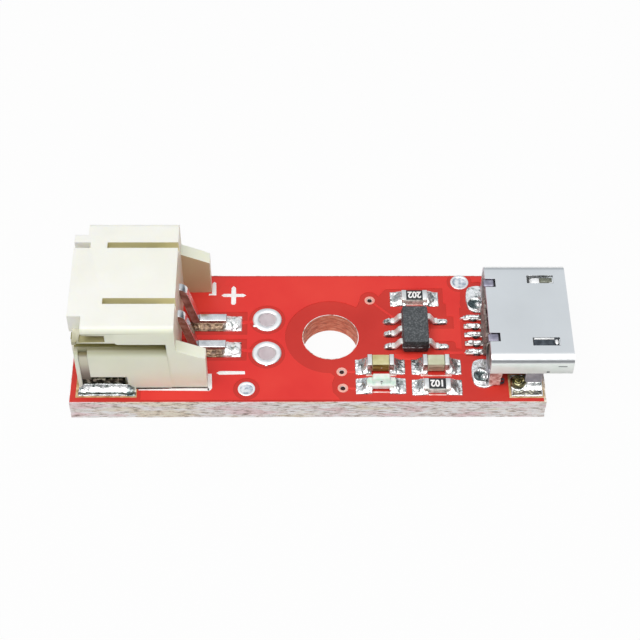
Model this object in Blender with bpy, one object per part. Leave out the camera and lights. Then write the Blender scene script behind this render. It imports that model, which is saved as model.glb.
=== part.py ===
"""Lithium battery charger module: a small red circuit board with a two-way battery socket
at one end, a five-way charging socket at the other, and the charger chip, two resistors,
two capacitors and a status light between them.

Metres, +Z up. +X runs along the board from the battery socket to the charging socket.
The origin is at the middle of the whole module's footprint, on the board's underside.
Places on the board are given from its battery end, its middle line and its top face.
"""

import math

import bmesh
import bpy
from mathutils import Vector

MM = 0.001

# Board: 1.6 mm glass-fibre laminate with one mounting hole, two plated holes and three vias.
BOARD_LENGTH = 28.0 * MM
BOARD_WIDTH = 9.65 * MM
BOARD_THICKNESS = 1.6 * MM
MOUNT_HOLE_DIAMETER = 3.33 * MM
MOUNT_HOLE_X = 15.42 * MM
VIA_DIAMETER = 0.3 * MM
FAR_VIA_X = 17.82 * MM
FAR_VIA_Y = 2.805 * MM
MIDDLE_VIA_X = 16.06 * MM
MIDDLE_VIA_Y = -2.595 * MM
NEAR_VIA_X = 16.13 * MM
NEAR_VIA_Y = -3.815 * MM

# Seats: what is soldered or pressed together stays this far apart, so that no two pieces
# share space.
SEAT = 0.01 * MM

# Plated pair beside the battery socket, at the usual 2.54 mm spacing.
PLATED_PAIR_X = 11.58 * MM
PLATED_PAIR_SPACING = 2.54 * MM
EYELET_BORE = 1.02 * MM
EYELET_WALL = 0.05 * MM
EYELET_FLANGE_DIAMETER = 1.76 * MM
EYELET_FLANGE_HEIGHT = 0.05 * MM

# Battery socket: moulded side-entry housing, two contacts 2 mm apart, two anchor plates.
SOCKET_CENTRE_Y = 0.245 * MM
SOCKET_REAR_X = 6.43 * MM
SOCKET_LENGTH = 5.3 * MM
SOCKET_WIDTH = 8.06 * MM
SOCKET_HEIGHT = 5.6 * MM
SOCKET_EDGE_RADIUS = 0.24 * MM
SOCKET_FLOOR = 0.6 * MM
SOCKET_ROOF = 0.62 * MM
ROOF_SLOT_DEPTH = 0.75 * MM
SOCKET_REAR_WALL = 1.0 * MM
CAVITY_WIDTH = 5.0 * MM
HOOD_REACH = 0.8 * MM
HOOD_WIDTH = 6.1 * MM
SIDE_WALL_REACH = 0.57 * MM
SIDE_WALL_TOP = 4.45 * MM
EAR_SLOT_LOW = 3.45 * MM
EAR_SLOT_HIGH = 4.2 * MM
EAR_SLOT_END = 0.52 * MM
SIDE_WINDOW_LENGTH = 1.32 * MM
SIDE_WINDOW_LOW = 4.32 * MM
SIDE_WINDOW_HIGH = 4.9 * MM
SIDE_WINDOW_DEPTH = 0.55 * MM
SIDE_STEP_LENGTH = 1.85 * MM
SIDE_STEP_HIGH = 5.14 * MM
SIDE_STEP_DEPTH = 0.1 * MM
ROOF_SLOT_LENGTH = 4.15 * MM
ROOF_SLOT_WIDTH = 0.42 * MM
ROOF_SLOT_SPACING = 4.2 * MM
KEY_SLOT_REACH = 0.16 * MM
WING_LENGTH = 1.6 * MM
WING_THICKNESS = 0.82 * MM
WING_HEIGHT = 3.6 * MM
WING_DROP = 0.8 * MM
FLANK_SHOULDER = 0.3 * MM

CONTACT_SPACING = 2.0 * MM
CONTACT_SIZE = 0.5 * MM
CONTACT_HEIGHT = 3.2 * MM
CONTACT_TIP_REACH = 3.6 * MM
CONTACT_RUN_OUT = 0.45 * MM
CONTACT_SLOPE_RUN = 0.6 * MM
CONTACT_FOOT_LENGTH = 1.65 * MM
CONTACT_BEND_RADIUS = 0.3 * MM

ANCHOR_THICKNESS = 0.25 * MM
ANCHOR_STRIP_WIDTH = 0.52 * MM
ANCHOR_STRIP_TOP = 3.2 * MM
ANCHOR_BAR_LENGTH = 2.5 * MM
ANCHOR_BAR_HEIGHT = 0.8 * MM
ANCHOR_INSET = 0.05 * MM
ANCHOR_FRONT_LIP = 0.24 * MM
ANCHOR_POCKET_SPARE = 0.1 * MM

# Charging socket: folded sheet shell around a moulded insulator with five contacts.
PORT_CENTRE_Y = 0.035 * MM
PORT_REAR_X = 24.72 * MM
PORT_LENGTH = 4.86 * MM
PORT_WIDTH = 7.4 * MM
PORT_TOP = 2.5 * MM
PORT_BOTTOM = 0.12 * MM
PORT_SHEET = 0.25 * MM
PORT_CORNER_RADIUS = 0.6 * MM
PORT_FLANK_BOTTOM = 1.42 * MM
PORT_BOTTOM_WIDTH = 5.6 * MM
PORT_REAR_LEG_LENGTH = 0.72 * MM
PORT_FRONT_LEG_START = 2.12 * MM
PORT_FRONT_LEG_LENGTH = 1.02 * MM
PORT_LEG_TUCK = 0.2 * MM
LATCH_WINDOW_LENGTH = 1.6 * MM
LATCH_WINDOW_WIDTH = 0.6 * MM
LATCH_WINDOW_SPACING = 4.75 * MM
LATCH_WINDOW_SETBACK = 0.74 * MM
LATCH_FINGER_LENGTH = 0.55 * MM
LATCH_FINGER_DROP = 0.22 * MM
LATCH_FINGER_FLAT = 0.18 * MM
LATCH_FINGER_THICKNESS = 0.12 * MM
LATCH_FINGER_WIDTH = 0.44 * MM
LATCH_FINGER_SINK = 0.06 * MM
REAR_NOTCH_LENGTH = 0.62 * MM
REAR_NOTCH_WIDTH = 0.64 * MM
REAR_NOTCH_SPACING = 4.1 * MM

INSULATOR_LENGTH = 1.25 * MM
INSULATOR_SETBACK = 0.12 * MM
INSULATOR_CLEARANCE = 0.02 * MM
TONGUE_WIDTH = 3.6 * MM
TONGUE_THICKNESS = 0.45 * MM
TONGUE_HEIGHT = 1.3 * MM
TONGUE_LENGTH = 2.5 * MM
PORT_CONTACT_COUNT = 5
PORT_CONTACT_PITCH = 0.65 * MM
PORT_CONTACT_WIDTH = 0.32 * MM
PORT_CONTACT_THICKNESS = 0.14 * MM
PORT_CONTACT_FOOT = 1.2 * MM
PORT_CONTACT_RISE = 1.1 * MM
PORT_CONTACT_REACH = 2.2 * MM

# Charger chip: moulded body, three leads on the battery side and two on the other.
CHIP_X = 20.52 * MM
CHIP_Y = 0.145 * MM
CHIP_LENGTH = 2.86 * MM
CHIP_WIDTH = 1.62 * MM
CHIP_HEIGHT = 1.1 * MM
CHIP_STANDOFF = 0.08 * MM
CHIP_DRAFT = 0.07 * MM
CHIP_WAIST = 0.58 * MM
LEAD_PITCH = 0.95 * MM
LEAD_WIDTH = 0.4 * MM
LEAD_THICKNESS = 0.15 * MM
LEAD_SPAN = 2.84 * MM
LEAD_FOOT_LENGTH = 0.36 * MM
LEAD_HEIGHT = 0.6 * MM
LEAD_BEND_RADIUS = 0.09 * MM
LEAD_PAD_REACH = 1.9 * MM
LEAD_PAD_WIDTH = 0.56 * MM

# Chip parts, all of one footprint, lying along the board.
FOOTPRINT_LENGTH = 1.6 * MM
FOOTPRINT_WIDTH = 0.8 * MM
END_CAP_LENGTH = 0.3 * MM
PART_STANDOFF = 0.03 * MM
PART_PAD_SPAN = 3.0 * MM
PART_PAD_LENGTH = 1.02 * MM
PART_PAD_WIDTH = 1.14 * MM
RESISTOR_HEIGHT = 0.45 * MM
RESISTOR_SOLDER_HEIGHT = 0.36 * MM
CAPACITOR_HEIGHT = 0.8 * MM
CAPACITOR_SOLDER_HEIGHT = 0.42 * MM
CURRENT_RESISTOR_X = 20.59 * MM
CURRENT_RESISTOR_Y = 2.895 * MM
LIGHT_RESISTOR_X = 21.65 * MM
LIGHT_RESISTOR_Y = -3.795 * MM
OUTPUT_CAPACITOR_X = 18.37 * MM
OUTPUT_CAPACITOR_Y = -2.295 * MM
INPUT_CAPACITOR_X = 21.66 * MM
INPUT_CAPACITOR_Y = -2.295 * MM
LIGHT_X = 18.36 * MM
LIGHT_Y = -3.705 * MM
LIGHT_BASE_HEIGHT = 0.3 * MM
LIGHT_LENS_LENGTH = 1.02 * MM
LIGHT_LENS_WIDTH = 0.6 * MM
LIGHT_LENS_HEIGHT = 0.34 * MM
LIGHT_LENS_TAPER = 0.06 * MM
LIGHT_TERMINAL_LENGTH = 0.3 * MM

# Solder: a thin skin over each pad that climbs to the part it holds.
SOLDER_SKIN = 0.05 * MM
SOLDER_CORNER = 0.13 * MM
SOLDER_RINGS = 5
CONTACT_PAD_LENGTH = 3.15 * MM
CONTACT_PAD_WIDTH = 1.16 * MM
CONTACT_PAD_END = 10.05 * MM
ANCHOR_PAD_LENGTH = 3.5 * MM
ANCHOR_PAD_START = 0.46 * MM
ANCHOR_PAD_REACH = 4.425 * MM
PORT_PAD_REACH = 4.475 * MM
PORT_PAD_WIDTH = 1.6 * MM
PORT_PAD_SETBACK = 0.05 * MM
PORT_PAD_LENGTH = 1.93 * MM
CONTACT_SOLDER_HEIGHT = 0.28 * MM
CONTACT_SOLDER_REACH = 0.17 * MM
ANCHOR_SOLDER_HEIGHT = 0.4 * MM
LEG_SOLDER_HEIGHT = 0.36 * MM
OVAL_PAD_START = 23.63 * MM
OVAL_PAD_WIDTH = 1.55 * MM
OVAL_PAD_LENGTH = 2.12 * MM
OVAL_PAD_SPACING = 5.68 * MM
OVAL_RECESS_DIAMETER = 0.86 * MM
OVAL_RECESS_PLACE = 0.745 * MM
OVAL_BEAD_DIAMETER = 0.62 * MM

OVERALL_LENGTH = max(PORT_REAR_X + PORT_LENGTH, BOARD_LENGTH)
SIDES = {"near": -1, "far": 1}


def at(x, y, z=0.0):
    """A place on the board, in the module's own frame."""
    return Vector((x - OVERALL_LENGTH / 2, y, z + BOARD_THICKNESS))


def finish(name, colour, roughness, metallic=0.0):
    """A plain surface finish."""
    material = bpy.data.materials.new(name)
    material.use_nodes = True
    shader = material.node_tree.nodes["Principled BSDF"]
    shader.inputs["Base Color"].default_value = (*colour, 1.0)
    shader.inputs["Roughness"].default_value = roughness
    shader.inputs["Metallic"].default_value = metallic
    return material


def piece(name, bm, material, place=Vector((0, 0, 0)), smooth=True):
    """Turn a bmesh into a named object that stands at its place."""
    bmesh.ops.recalc_face_normals(bm, faces=bm.faces)
    mesh = bpy.data.meshes.new(name)
    bm.to_mesh(mesh)
    bm.free()
    mesh.materials.append(material)
    if smooth:
        mesh.shade_smooth()
        mesh.set_sharp_from_angle(angle=math.radians(35))
    shape = bpy.data.objects.new(name, mesh)
    shape.location = place
    bpy.context.scene.collection.objects.link(shape)
    return shape


def box(low, high):
    """A plain block between two corners."""
    bm = bmesh.new()
    add_box(bm, low, high)
    return bm


def add_box(bm, low, high):
    """Add a block between two corners to a bmesh."""
    corners = bmesh.ops.create_cube(bm, size=1.0)["verts"]
    for corner in corners:
        for axis in range(3):
            corner.co[axis] = low[axis] if corner.co[axis] < 0 else high[axis]
    return corners


def prism(outline, start, end, axis="z"):
    """Extrude a flat outline along an axis. The outline's pairs are the other two axes in order."""
    bm = bmesh.new()
    add_prism(bm, outline, start, end, axis)
    return bm


def add_prism(bm, outline, start, end, axis="z"):
    """Add an extruded outline to a bmesh."""
    order = {"x": lambda a, b, c: (c, a, b), "y": lambda a, b, c: (a, c, b), "z": lambda a, b, c: (a, b, c)}
    spread = order[axis]
    corners = [bm.verts.new(spread(a, b, start)) for a, b in outline]
    face = bm.faces.new(corners)
    raised = bmesh.ops.extrude_face_region(bm, geom=[face])["geom"]
    shift = Vector(spread(0.0, 0.0, end - start))
    moved = [item for item in raised if isinstance(item, bmesh.types.BMVert)]
    bmesh.ops.translate(bm, vec=shift, verts=moved)


def loft(rings):
    """Skin a stack of rings that have equal numbers of points, and close both ends."""
    bm = bmesh.new()
    rows = [[bm.verts.new(point) for point in ring] for ring in rings]
    count = len(rows[0])
    for lower, upper in zip(rows, rows[1:]):
        for i in range(count):
            j = (i + 1) % count
            bm.faces.new((lower[i], lower[j], upper[j], upper[i]))
    bm.faces.new(list(reversed(rows[0])))
    bm.faces.new(rows[-1])
    return bm


def rounded_rectangle(low, high, radius, steps=3):
    """Corner points of a rectangle with round corners, counter-clockwise."""
    reach = min(radius, 0.499 * (high[0] - low[0]), 0.499 * (high[1] - low[1]))
    centres = (
        (high[0] - reach, high[1] - reach),
        (low[0] + reach, high[1] - reach),
        (low[0] + reach, low[1] + reach),
        (high[0] - reach, low[1] + reach),
    )
    points = []
    for quarter, (x, y) in enumerate(centres):
        for step in range(steps + 1):
            angle = math.radians(90 * (quarter + step / steps))
            points.append((x + reach * math.cos(angle), y + reach * math.sin(angle)))
    return points


def circle(x, y, radius, count):
    """Points around a circle."""
    turns = [2 * math.pi * i / count for i in range(count)]
    return [(x + radius * math.cos(turn), y + radius * math.sin(turn)) for turn in turns]


def change(shape, tool, operation="DIFFERENCE"):
    """Cut a tool out of a shape, or join it on. The tool itself is never shown."""
    tool.hide_render = True
    tool.display_type = "WIRE"
    tool.name = f"{shape.name}_tool"
    step = shape.modifiers.new(operation.title(), "BOOLEAN")
    step.operation = operation
    step.object = tool


def bend_path(corners, radius, steps=4):
    """Round each inner corner of a path of straight runs in the XZ plane."""
    points = [Vector(corners[0])]
    for before, corner, after in zip(corners, corners[1:], corners[2:]):
        before, corner, after = Vector(before), Vector(corner), Vector(after)
        into, out = (corner - before).normalized(), (after - corner).normalized()
        half = into.angle(out) / 2
        inset = radius * math.tan(half)
        start, end = corner - into * inset, corner + out * inset
        for step in range(steps + 1):
            share = step / steps
            low, high = start.lerp(corner, share), corner.lerp(end, share)
            points.append(low.lerp(high, share))
    points.append(Vector(corners[-1]))
    return points


def strip(path, thickness, width):
    """A flat strip of one thickness that follows a path in the XZ plane, centred on Y."""
    bm = bmesh.new()
    rows = []
    for i, point in enumerate(path):
        before, after = path[max(i - 1, 0)], path[min(i + 1, len(path) - 1)]
        first = (point - before).normalized() if i else (after - point).normalized()
        last = (after - point).normalized() if i < len(path) - 1 else first
        along = (first + last).normalized()
        across = Vector((-along.y, along.x)) * thickness / 2 / max(along.dot(first), 0.5)
        corners = ((point - across, -1), (point + across, -1), (point + across, 1), (point - across, 1))
        rows.append([bm.verts.new((spot.x, side * width / 2, spot.y)) for spot, side in corners])
    for lower, upper in zip(rows, rows[1:]):
        for i in range(4):
            j = (i + 1) % 4
            bm.faces.new((lower[i], lower[j], upper[j], upper[i]))
    bm.faces.new(list(reversed(rows[0])))
    bm.faces.new(rows[-1])
    return bm


def solder_skirt(name, pad, seat, height, held, material, corner=SOLDER_CORNER):
    """Solder that covers a pad and climbs in a hollow curve to the part it holds.

    The pad and the seat are (low x, high x, low y, high y) on the board. The boxes held are
    what the solder runs up to, each as two corners on the board.
    """
    rings = []
    base = SEAT
    for ring in range(SOLDER_RINGS):
        share = ring / (SOLDER_RINGS - 1)
        low = (pad[0] + (seat[0] - pad[0]) * share, pad[2] + (seat[2] - pad[2]) * share)
        high = (pad[1] + (seat[1] - pad[1]) * share, pad[3] + (seat[3] - pad[3]) * share)
        radius = corner * (1 - share) + SOLDER_SKIN * share
        level = SOLDER_SKIN + (height - SOLDER_SKIN) * share ** 2
        rings.append([at(x, y, level) for x, y in rounded_rectangle(low, high, radius)])
    footing = rounded_rectangle((pad[0], pad[2]), (pad[1], pad[3]), corner)
    rings.insert(0, [at(x, y, base) for x, y in footing])
    middle = at((pad[0] + pad[1]) / 2, (pad[2] + pad[3]) / 2)
    joint = piece(name, loft([[point - middle for point in ring] for ring in rings]), material, middle)
    cutters = bmesh.new()
    for low, high in held:
        add_box(cutters, at(*low) - middle, at(*high) - middle)
    if held:
        change(joint, piece(f"{name}_seat", cutters, material, middle, smooth=False))
    return joint


def circuit_board(material):
    """The bare board with its holes drilled through."""
    middle = at(BOARD_LENGTH / 2, 0, -BOARD_THICKNESS / 2)
    half = Vector((BOARD_LENGTH, BOARD_WIDTH, BOARD_THICKNESS)) / 2
    board = piece("circuit_board", box(-half, half), material, middle, smooth=False)
    through = BOARD_THICKNESS
    holes = [(MOUNT_HOLE_X, 0, MOUNT_HOLE_DIAMETER, 48)]
    holes += [(x, y, EYELET_BORE + 2 * (EYELET_WALL + SEAT), 24) for x, y in eyelet_places()]
    vias = ((FAR_VIA_X, FAR_VIA_Y), (MIDDLE_VIA_X, MIDDLE_VIA_Y), (NEAR_VIA_X, NEAR_VIA_Y))
    holes += [(x, y, VIA_DIAMETER, 12) for x, y in vias]
    drills = bmesh.new()
    for x, y, diameter, sides in holes:
        spot = at(x, y, -BOARD_THICKNESS / 2) - middle
        add_prism(drills, circle(spot.x, spot.y, diameter / 2, sides), -through, through)
    change(board, piece("drills", drills, material, middle, smooth=False))


def eyelet_places():
    """Centres of the two plated holes, side by side across the board."""
    return [(PLATED_PAIR_X, side * PLATED_PAIR_SPACING / 2) for side in SIDES.values()]


def plated_holes(material):
    """Two tinned barrels with a flange on the board's top face."""
    for (x, y), side in zip(eyelet_places(), SIDES):
        bore = EYELET_BORE / 2
        barrel = bore + EYELET_WALL
        flange = EYELET_FLANGE_DIAMETER / 2
        top = SEAT + EYELET_FLANGE_HEIGHT
        bottom = -BOARD_THICKNESS
        profile = ((bore, bottom), (bore, top), (flange, top),
                   (flange, SEAT), (barrel, SEAT), (barrel, bottom))
        count = 24
        rings = [[Vector((r * math.cos(turn), r * math.sin(turn), z)) for r, z in profile]
                 for turn in (2 * math.pi * i / count for i in range(count))]
        bm = bmesh.new()
        rows = [[bm.verts.new(point) for point in ring] for ring in rings]
        for row, following in zip(rows, rows[1:] + rows[:1]):
            for i in range(len(profile)):
                j = (i + 1) % len(profile)
                bm.faces.new((row[i], row[j], following[j], following[i]))
        piece(f"plated_hole_{side}", bm, material, at(x, y))


def socket_spans():
    """Where the battery socket's parts start along the board: hood, side walls, roof, rear face."""
    roof = SOCKET_REAR_X - SOCKET_LENGTH
    return roof - HOOD_REACH, roof - SIDE_WALL_REACH, roof, SOCKET_REAR_X


def contact_places():
    """How far along the width each battery contact stands from the socket's middle."""
    return {name: side * CONTACT_SPACING / 2 for name, side in SIDES.items()}


def battery_socket_housing(material):
    """The moulded housing, which opens towards the board's end and is slotted on its roof and sides."""
    hood, wall, roof, rear = socket_spans()
    middle = at(rear, SOCKET_CENTRE_Y)
    half = SOCKET_WIDTH / 2
    low_z = SEAT
    body = bmesh.new()
    section = []
    for side in (1, -1):
        for step in range(5):
            angle = math.radians(90 * step / 4) if side > 0 else math.radians(90 + 90 * step / 4)
            reach = SOCKET_EDGE_RADIUS
            section.append((side * (half - reach) + reach * math.cos(angle),
                            SOCKET_HEIGHT - reach + reach * math.sin(angle)))
    section += [(-half, low_z), (half, low_z)]
    add_prism(body, section, hood - rear, 0.0, axis="x")
    housing = piece("battery_socket_housing", body, material, middle)

    wings = bmesh.new()
    for side in SIDES.values():
        inner, outer = side * (half - WING_THICKNESS), side * half
        slope = [(-SOCKET_REAR_WALL / 2, low_z), (WING_LENGTH, low_z),
                 (WING_LENGTH, WING_HEIGHT - WING_DROP), (0.0, WING_HEIGHT),
                 (-SOCKET_REAR_WALL / 2, WING_HEIGHT)]
        add_prism(wings, slope, min(inner, outer), max(inner, outer), axis="y")
    change(housing, piece("wings", wings, material, middle, smooth=False), "UNION")

    beyond = SOCKET_EDGE_RADIUS + SIDE_STEP_DEPTH
    front = hood - rear - beyond
    cavity_half = CAVITY_WIDTH / 2
    cavity_end = -SOCKET_REAR_WALL
    ceiling = SOCKET_HEIGHT - SOCKET_ROOF
    hollow = bmesh.new()
    add_box(hollow, (front, -cavity_half, SOCKET_FLOOR), (cavity_end, cavity_half, ceiling))
    change(housing, piece("hollow", hollow, material, middle, smooth=False))

    roof_slots = bmesh.new()
    above = SOCKET_HEIGHT + beyond
    slot_floor = SOCKET_HEIGHT - ROOF_SLOT_DEPTH
    for side in SIDES.values():
        y = side * ROOF_SLOT_SPACING / 2 + KEY_SLOT_REACH
        low, high = y - ROOF_SLOT_WIDTH / 2, y + ROOF_SLOT_WIDTH / 2
        add_box(roof_slots, (-ROOF_SLOT_LENGTH, low, slot_floor), (beyond, high, above))
        if side > 0:
            add_box(roof_slots, (front, low, slot_floor), (roof - rear + KEY_SLOT_REACH, high, above))
    change(housing, piece("roof_slots", roof_slots, material, middle, smooth=False))

    for side in SIDES.values():
        outside = side * (half + beyond)
        notch = [(front, -beyond), (wall - rear, -beyond), (wall - rear, SIDE_WALL_TOP),
                 (roof - rear, SIDE_WALL_TOP), (roof - rear, above), (front, above)]
        edges = sorted((side * HOOD_WIDTH / 2, outside))
        corner = prism(notch, edges[0], edges[1], axis="y")
        change(housing, piece("front_corner", corner, material, middle, smooth=False))

        ear = bmesh.new()
        add_side_box(ear, side, (front, cavity_half - beyond, EAR_SLOT_LOW),
                     (-EAR_SLOT_END, abs(outside), EAR_SLOT_HIGH))
        change(housing, piece("ear_slot", ear, material, middle, smooth=False))

        step_end = roof - rear + SIDE_STEP_LENGTH
        step = bmesh.new()
        add_side_box(step, side, (roof - rear - beyond, half - SIDE_STEP_DEPTH, EAR_SLOT_HIGH - beyond / 2),
                     (step_end, abs(outside), SIDE_STEP_HIGH))
        change(housing, piece("side_step", step, material, middle, smooth=False))

        window = bmesh.new()
        add_side_box(window, side, (roof - rear - beyond / 2, half - SIDE_WINDOW_DEPTH, SIDE_WINDOW_LOW),
                     (roof - rear + SIDE_WINDOW_LENGTH, abs(outside), SIDE_WINDOW_HIGH))
        change(housing, piece("side_window", window, material, middle, smooth=False))

        start = wall - rear + ANCHOR_FRONT_LIP
        spare = ANCHOR_POCKET_SPARE
        back = half - ANCHOR_INSET - ANCHOR_THICKNESS - SEAT
        pocket = bmesh.new()
        outline = [(start - SEAT, -beyond), (start + ANCHOR_BAR_LENGTH + spare, -beyond),
                   (start + ANCHOR_BAR_LENGTH + spare, ANCHOR_BAR_HEIGHT + spare),
                   (start + ANCHOR_STRIP_WIDTH + SEAT, ANCHOR_BAR_HEIGHT + spare),
                   (start + ANCHOR_STRIP_WIDTH + SEAT, EAR_SLOT_LOW + beyond / 2),
                   (start - SEAT, EAR_SLOT_LOW + beyond / 2)]
        add_prism(pocket, outline, min(side * back, outside), max(side * back, outside), axis="y")
        change(housing, piece("anchor_pocket", pocket, material, middle, smooth=False))

        shoulder = bmesh.new()
        high = EAR_SLOT_LOW
        slant = [(half - FLANK_SHOULDER / 2, high + SEAT), (half + SEAT, high - FLANK_SHOULDER),
                 (half + beyond, high - FLANK_SHOULDER), (half + beyond, high + SEAT)]
        slant = [(side * y, z) for y, z in slant]
        add_prism(shoulder, slant, front, -EAR_SLOT_END, axis="x")
        change(housing, piece("flank_shoulder", shoulder, material, middle, smooth=False))

    holes = bmesh.new()
    grip = CONTACT_SIZE / 2 + SEAT
    for y in contact_places().values():
        add_box(holes, (cavity_end - beyond, y - grip, CONTACT_HEIGHT - grip),
                (beyond, y + grip, CONTACT_HEIGHT + grip))
    change(housing, piece("contact_holes", holes, material, middle, smooth=False))


def add_side_box(bm, side, low, high):
    """Add a block on the near or far side, with its middle two values counted outwards."""
    edges = sorted((side * low[1], side * high[1]))
    add_box(bm, (low[0], edges[0], low[2]), (high[0], edges[1], high[2]))


def battery_contacts(material):
    """Square pins that cross the rear wall, step down to the board and lie on their pads."""
    for name, y in contact_places().items():
        foot_z = SOLDER_SKIN + SEAT + CONTACT_SIZE / 2
        foot_start = CONTACT_RUN_OUT + CONTACT_SLOPE_RUN
        corners = [(-SOCKET_REAR_WALL - CONTACT_TIP_REACH, CONTACT_HEIGHT),
                   (CONTACT_RUN_OUT, CONTACT_HEIGHT), (foot_start, foot_z),
                   (foot_start + CONTACT_FOOT_LENGTH, foot_z)]
        path = bend_path(corners, CONTACT_BEND_RADIUS)
        pin = strip(path, CONTACT_SIZE, CONTACT_SIZE)
        piece(f"battery_contact_{name}", pin, material, at(SOCKET_REAR_X, SOCKET_CENTRE_Y + y))


def anchor_plates(material):
    """L-shaped plates pressed into the housing's flanks, which are soldered to the board."""
    start = socket_spans()[1] + ANCHOR_FRONT_LIP
    for name, side in SIDES.items():
        outer = SOCKET_WIDTH / 2 - ANCHOR_INSET
        inner = outer - ANCHOR_THICKNESS
        low = SOLDER_SKIN + SEAT
        outline = [(0.0, low), (ANCHOR_BAR_LENGTH, low), (ANCHOR_BAR_LENGTH, ANCHOR_BAR_HEIGHT),
                   (ANCHOR_STRIP_WIDTH, ANCHOR_BAR_HEIGHT), (ANCHOR_STRIP_WIDTH, ANCHOR_STRIP_TOP),
                   (0.0, ANCHOR_STRIP_TOP)]
        edges = sorted((side * inner, side * outer))
        plate = prism(outline, edges[0], edges[1], axis="y")
        piece(f"anchor_plate_{name}", plate, material, at(start, SOCKET_CENTRE_Y), smooth=False)


def port_outline(inset, steps=4):
    """The charging socket's section: flat roof, round shoulders, short flanks and a narrow floor."""
    half = PORT_WIDTH / 2 - inset
    top = PORT_TOP - inset
    radius = PORT_CORNER_RADIUS - inset
    bottom = PORT_BOTTOM + inset
    slant = (PORT_WIDTH - PORT_BOTTOM_WIDTH) / 2
    drop = PORT_FLANK_BOTTOM - PORT_BOTTOM
    tuck = inset * (math.hypot(slant, drop) - slant) / drop
    bottom_half = PORT_BOTTOM_WIDTH / 2 - tuck
    knee = PORT_FLANK_BOTTOM + inset * (math.hypot(slant, drop) - drop) / slant
    points = [(-half, knee), (-bottom_half, bottom), (bottom_half, bottom), (half, knee)]
    for side in (1, -1):
        for step in range(steps + 1):
            angle = math.radians(90 * step / steps) if side > 0 else math.radians(90 + 90 * step / steps)
            y = side * (half - radius) + radius * math.cos(angle)
            points.append((y, top - radius + radius * math.sin(angle)))
    return points


def charging_socket_shell(material):
    """One folded sheet: a tube with two latch windows, a notched rear edge and four legs."""
    middle = at(PORT_REAR_X, PORT_CENTRE_Y)
    half = PORT_WIDTH / 2
    outer, inner = port_outline(0.0), port_outline(PORT_SHEET)
    bm = bmesh.new()
    rows = [[bm.verts.new((x, y, z)) for y, z in ring]
            for ring, x in ((outer, 0.0), (outer, PORT_LENGTH), (inner, PORT_LENGTH), (inner, 0.0))]
    count = len(outer)
    for row, following in zip(rows, rows[1:] + rows[:1]):
        for i in range(count):
            j = (i + 1) % count
            bm.faces.new((row[i], row[j], following[j], following[i]))
    shell = piece("charging_socket_shell", bm, material, middle)

    legs = bmesh.new()
    low = SOLDER_SKIN + SEAT
    hair = SEAT / 2
    for side in SIDES.values():
        for start, length in ((hair, PORT_REAR_LEG_LENGTH), (PORT_FRONT_LEG_START, PORT_FRONT_LEG_LENGTH)):
            add_side_box(legs, side, (start, half - PORT_SHEET + hair, low),
                         (start + length, half - hair, PORT_FLANK_BOTTOM + PORT_LEG_TUCK))
    change(shell, piece("legs", legs, material, middle, smooth=False), "UNION")

    windows = bmesh.new()
    above, below = PORT_TOP + PORT_SHEET, PORT_TOP - 1.5 * PORT_SHEET
    window_end = PORT_LENGTH - LATCH_WINDOW_SETBACK
    for side in SIDES.values():
        y = side * LATCH_WINDOW_SPACING / 2
        add_box(windows, (window_end - LATCH_WINDOW_LENGTH, y - LATCH_WINDOW_WIDTH / 2, below),
                (window_end, y + LATCH_WINDOW_WIDTH / 2, above))
        y = side * REAR_NOTCH_SPACING / 2
        add_box(windows, (-PORT_SHEET, y - REAR_NOTCH_WIDTH / 2, below),
                (REAR_NOTCH_LENGTH, y + REAR_NOTCH_WIDTH / 2, above))
    change(shell, piece("windows", windows, material, middle, smooth=False))

    fingers = bmesh.new()
    for side in SIDES.values():
        y = side * LATCH_WINDOW_SPACING / 2
        narrow = LATCH_FINGER_WIDTH / 2
        top = PORT_TOP - LATCH_FINGER_SINK
        tip = window_end - LATCH_FINGER_LENGTH
        bend = window_end - LATCH_FINGER_FLAT
        root = window_end + PORT_SHEET / 2
        thick = LATCH_FINGER_THICKNESS
        outline = [(root, top - thick), (root, top), (bend, top), (tip, top - LATCH_FINGER_DROP),
                   (tip, top - LATCH_FINGER_DROP - thick), (bend, top - thick)]
        add_prism(fingers, outline, y - narrow, y + narrow, axis="y")
    change(shell, piece("fingers", fingers, material, middle, smooth=False), "UNION")


def port_contact_path():
    """The route of a charging contact: foot on the board, up behind the insulator, out along the tongue."""
    half = PORT_CONTACT_THICKNESS / 2
    low = SEAT + half
    high = PORT_CONTACT_RISE + half
    bend = INSULATOR_SETBACK - 2 * half
    tip = INSULATOR_SETBACK + INSULATOR_LENGTH + PORT_CONTACT_REACH
    corners = [(-PORT_CONTACT_FOOT, low), (bend, low), (bend, high), (tip, high)]
    return bend_path(corners, PORT_CONTACT_THICKNESS * 1.2, steps=3)


def port_contact_places():
    """How far each charging contact stands from the socket's middle."""
    first = -(PORT_CONTACT_COUNT - 1) / 2
    return [(first + i) * PORT_CONTACT_PITCH for i in range(PORT_CONTACT_COUNT)]


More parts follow.
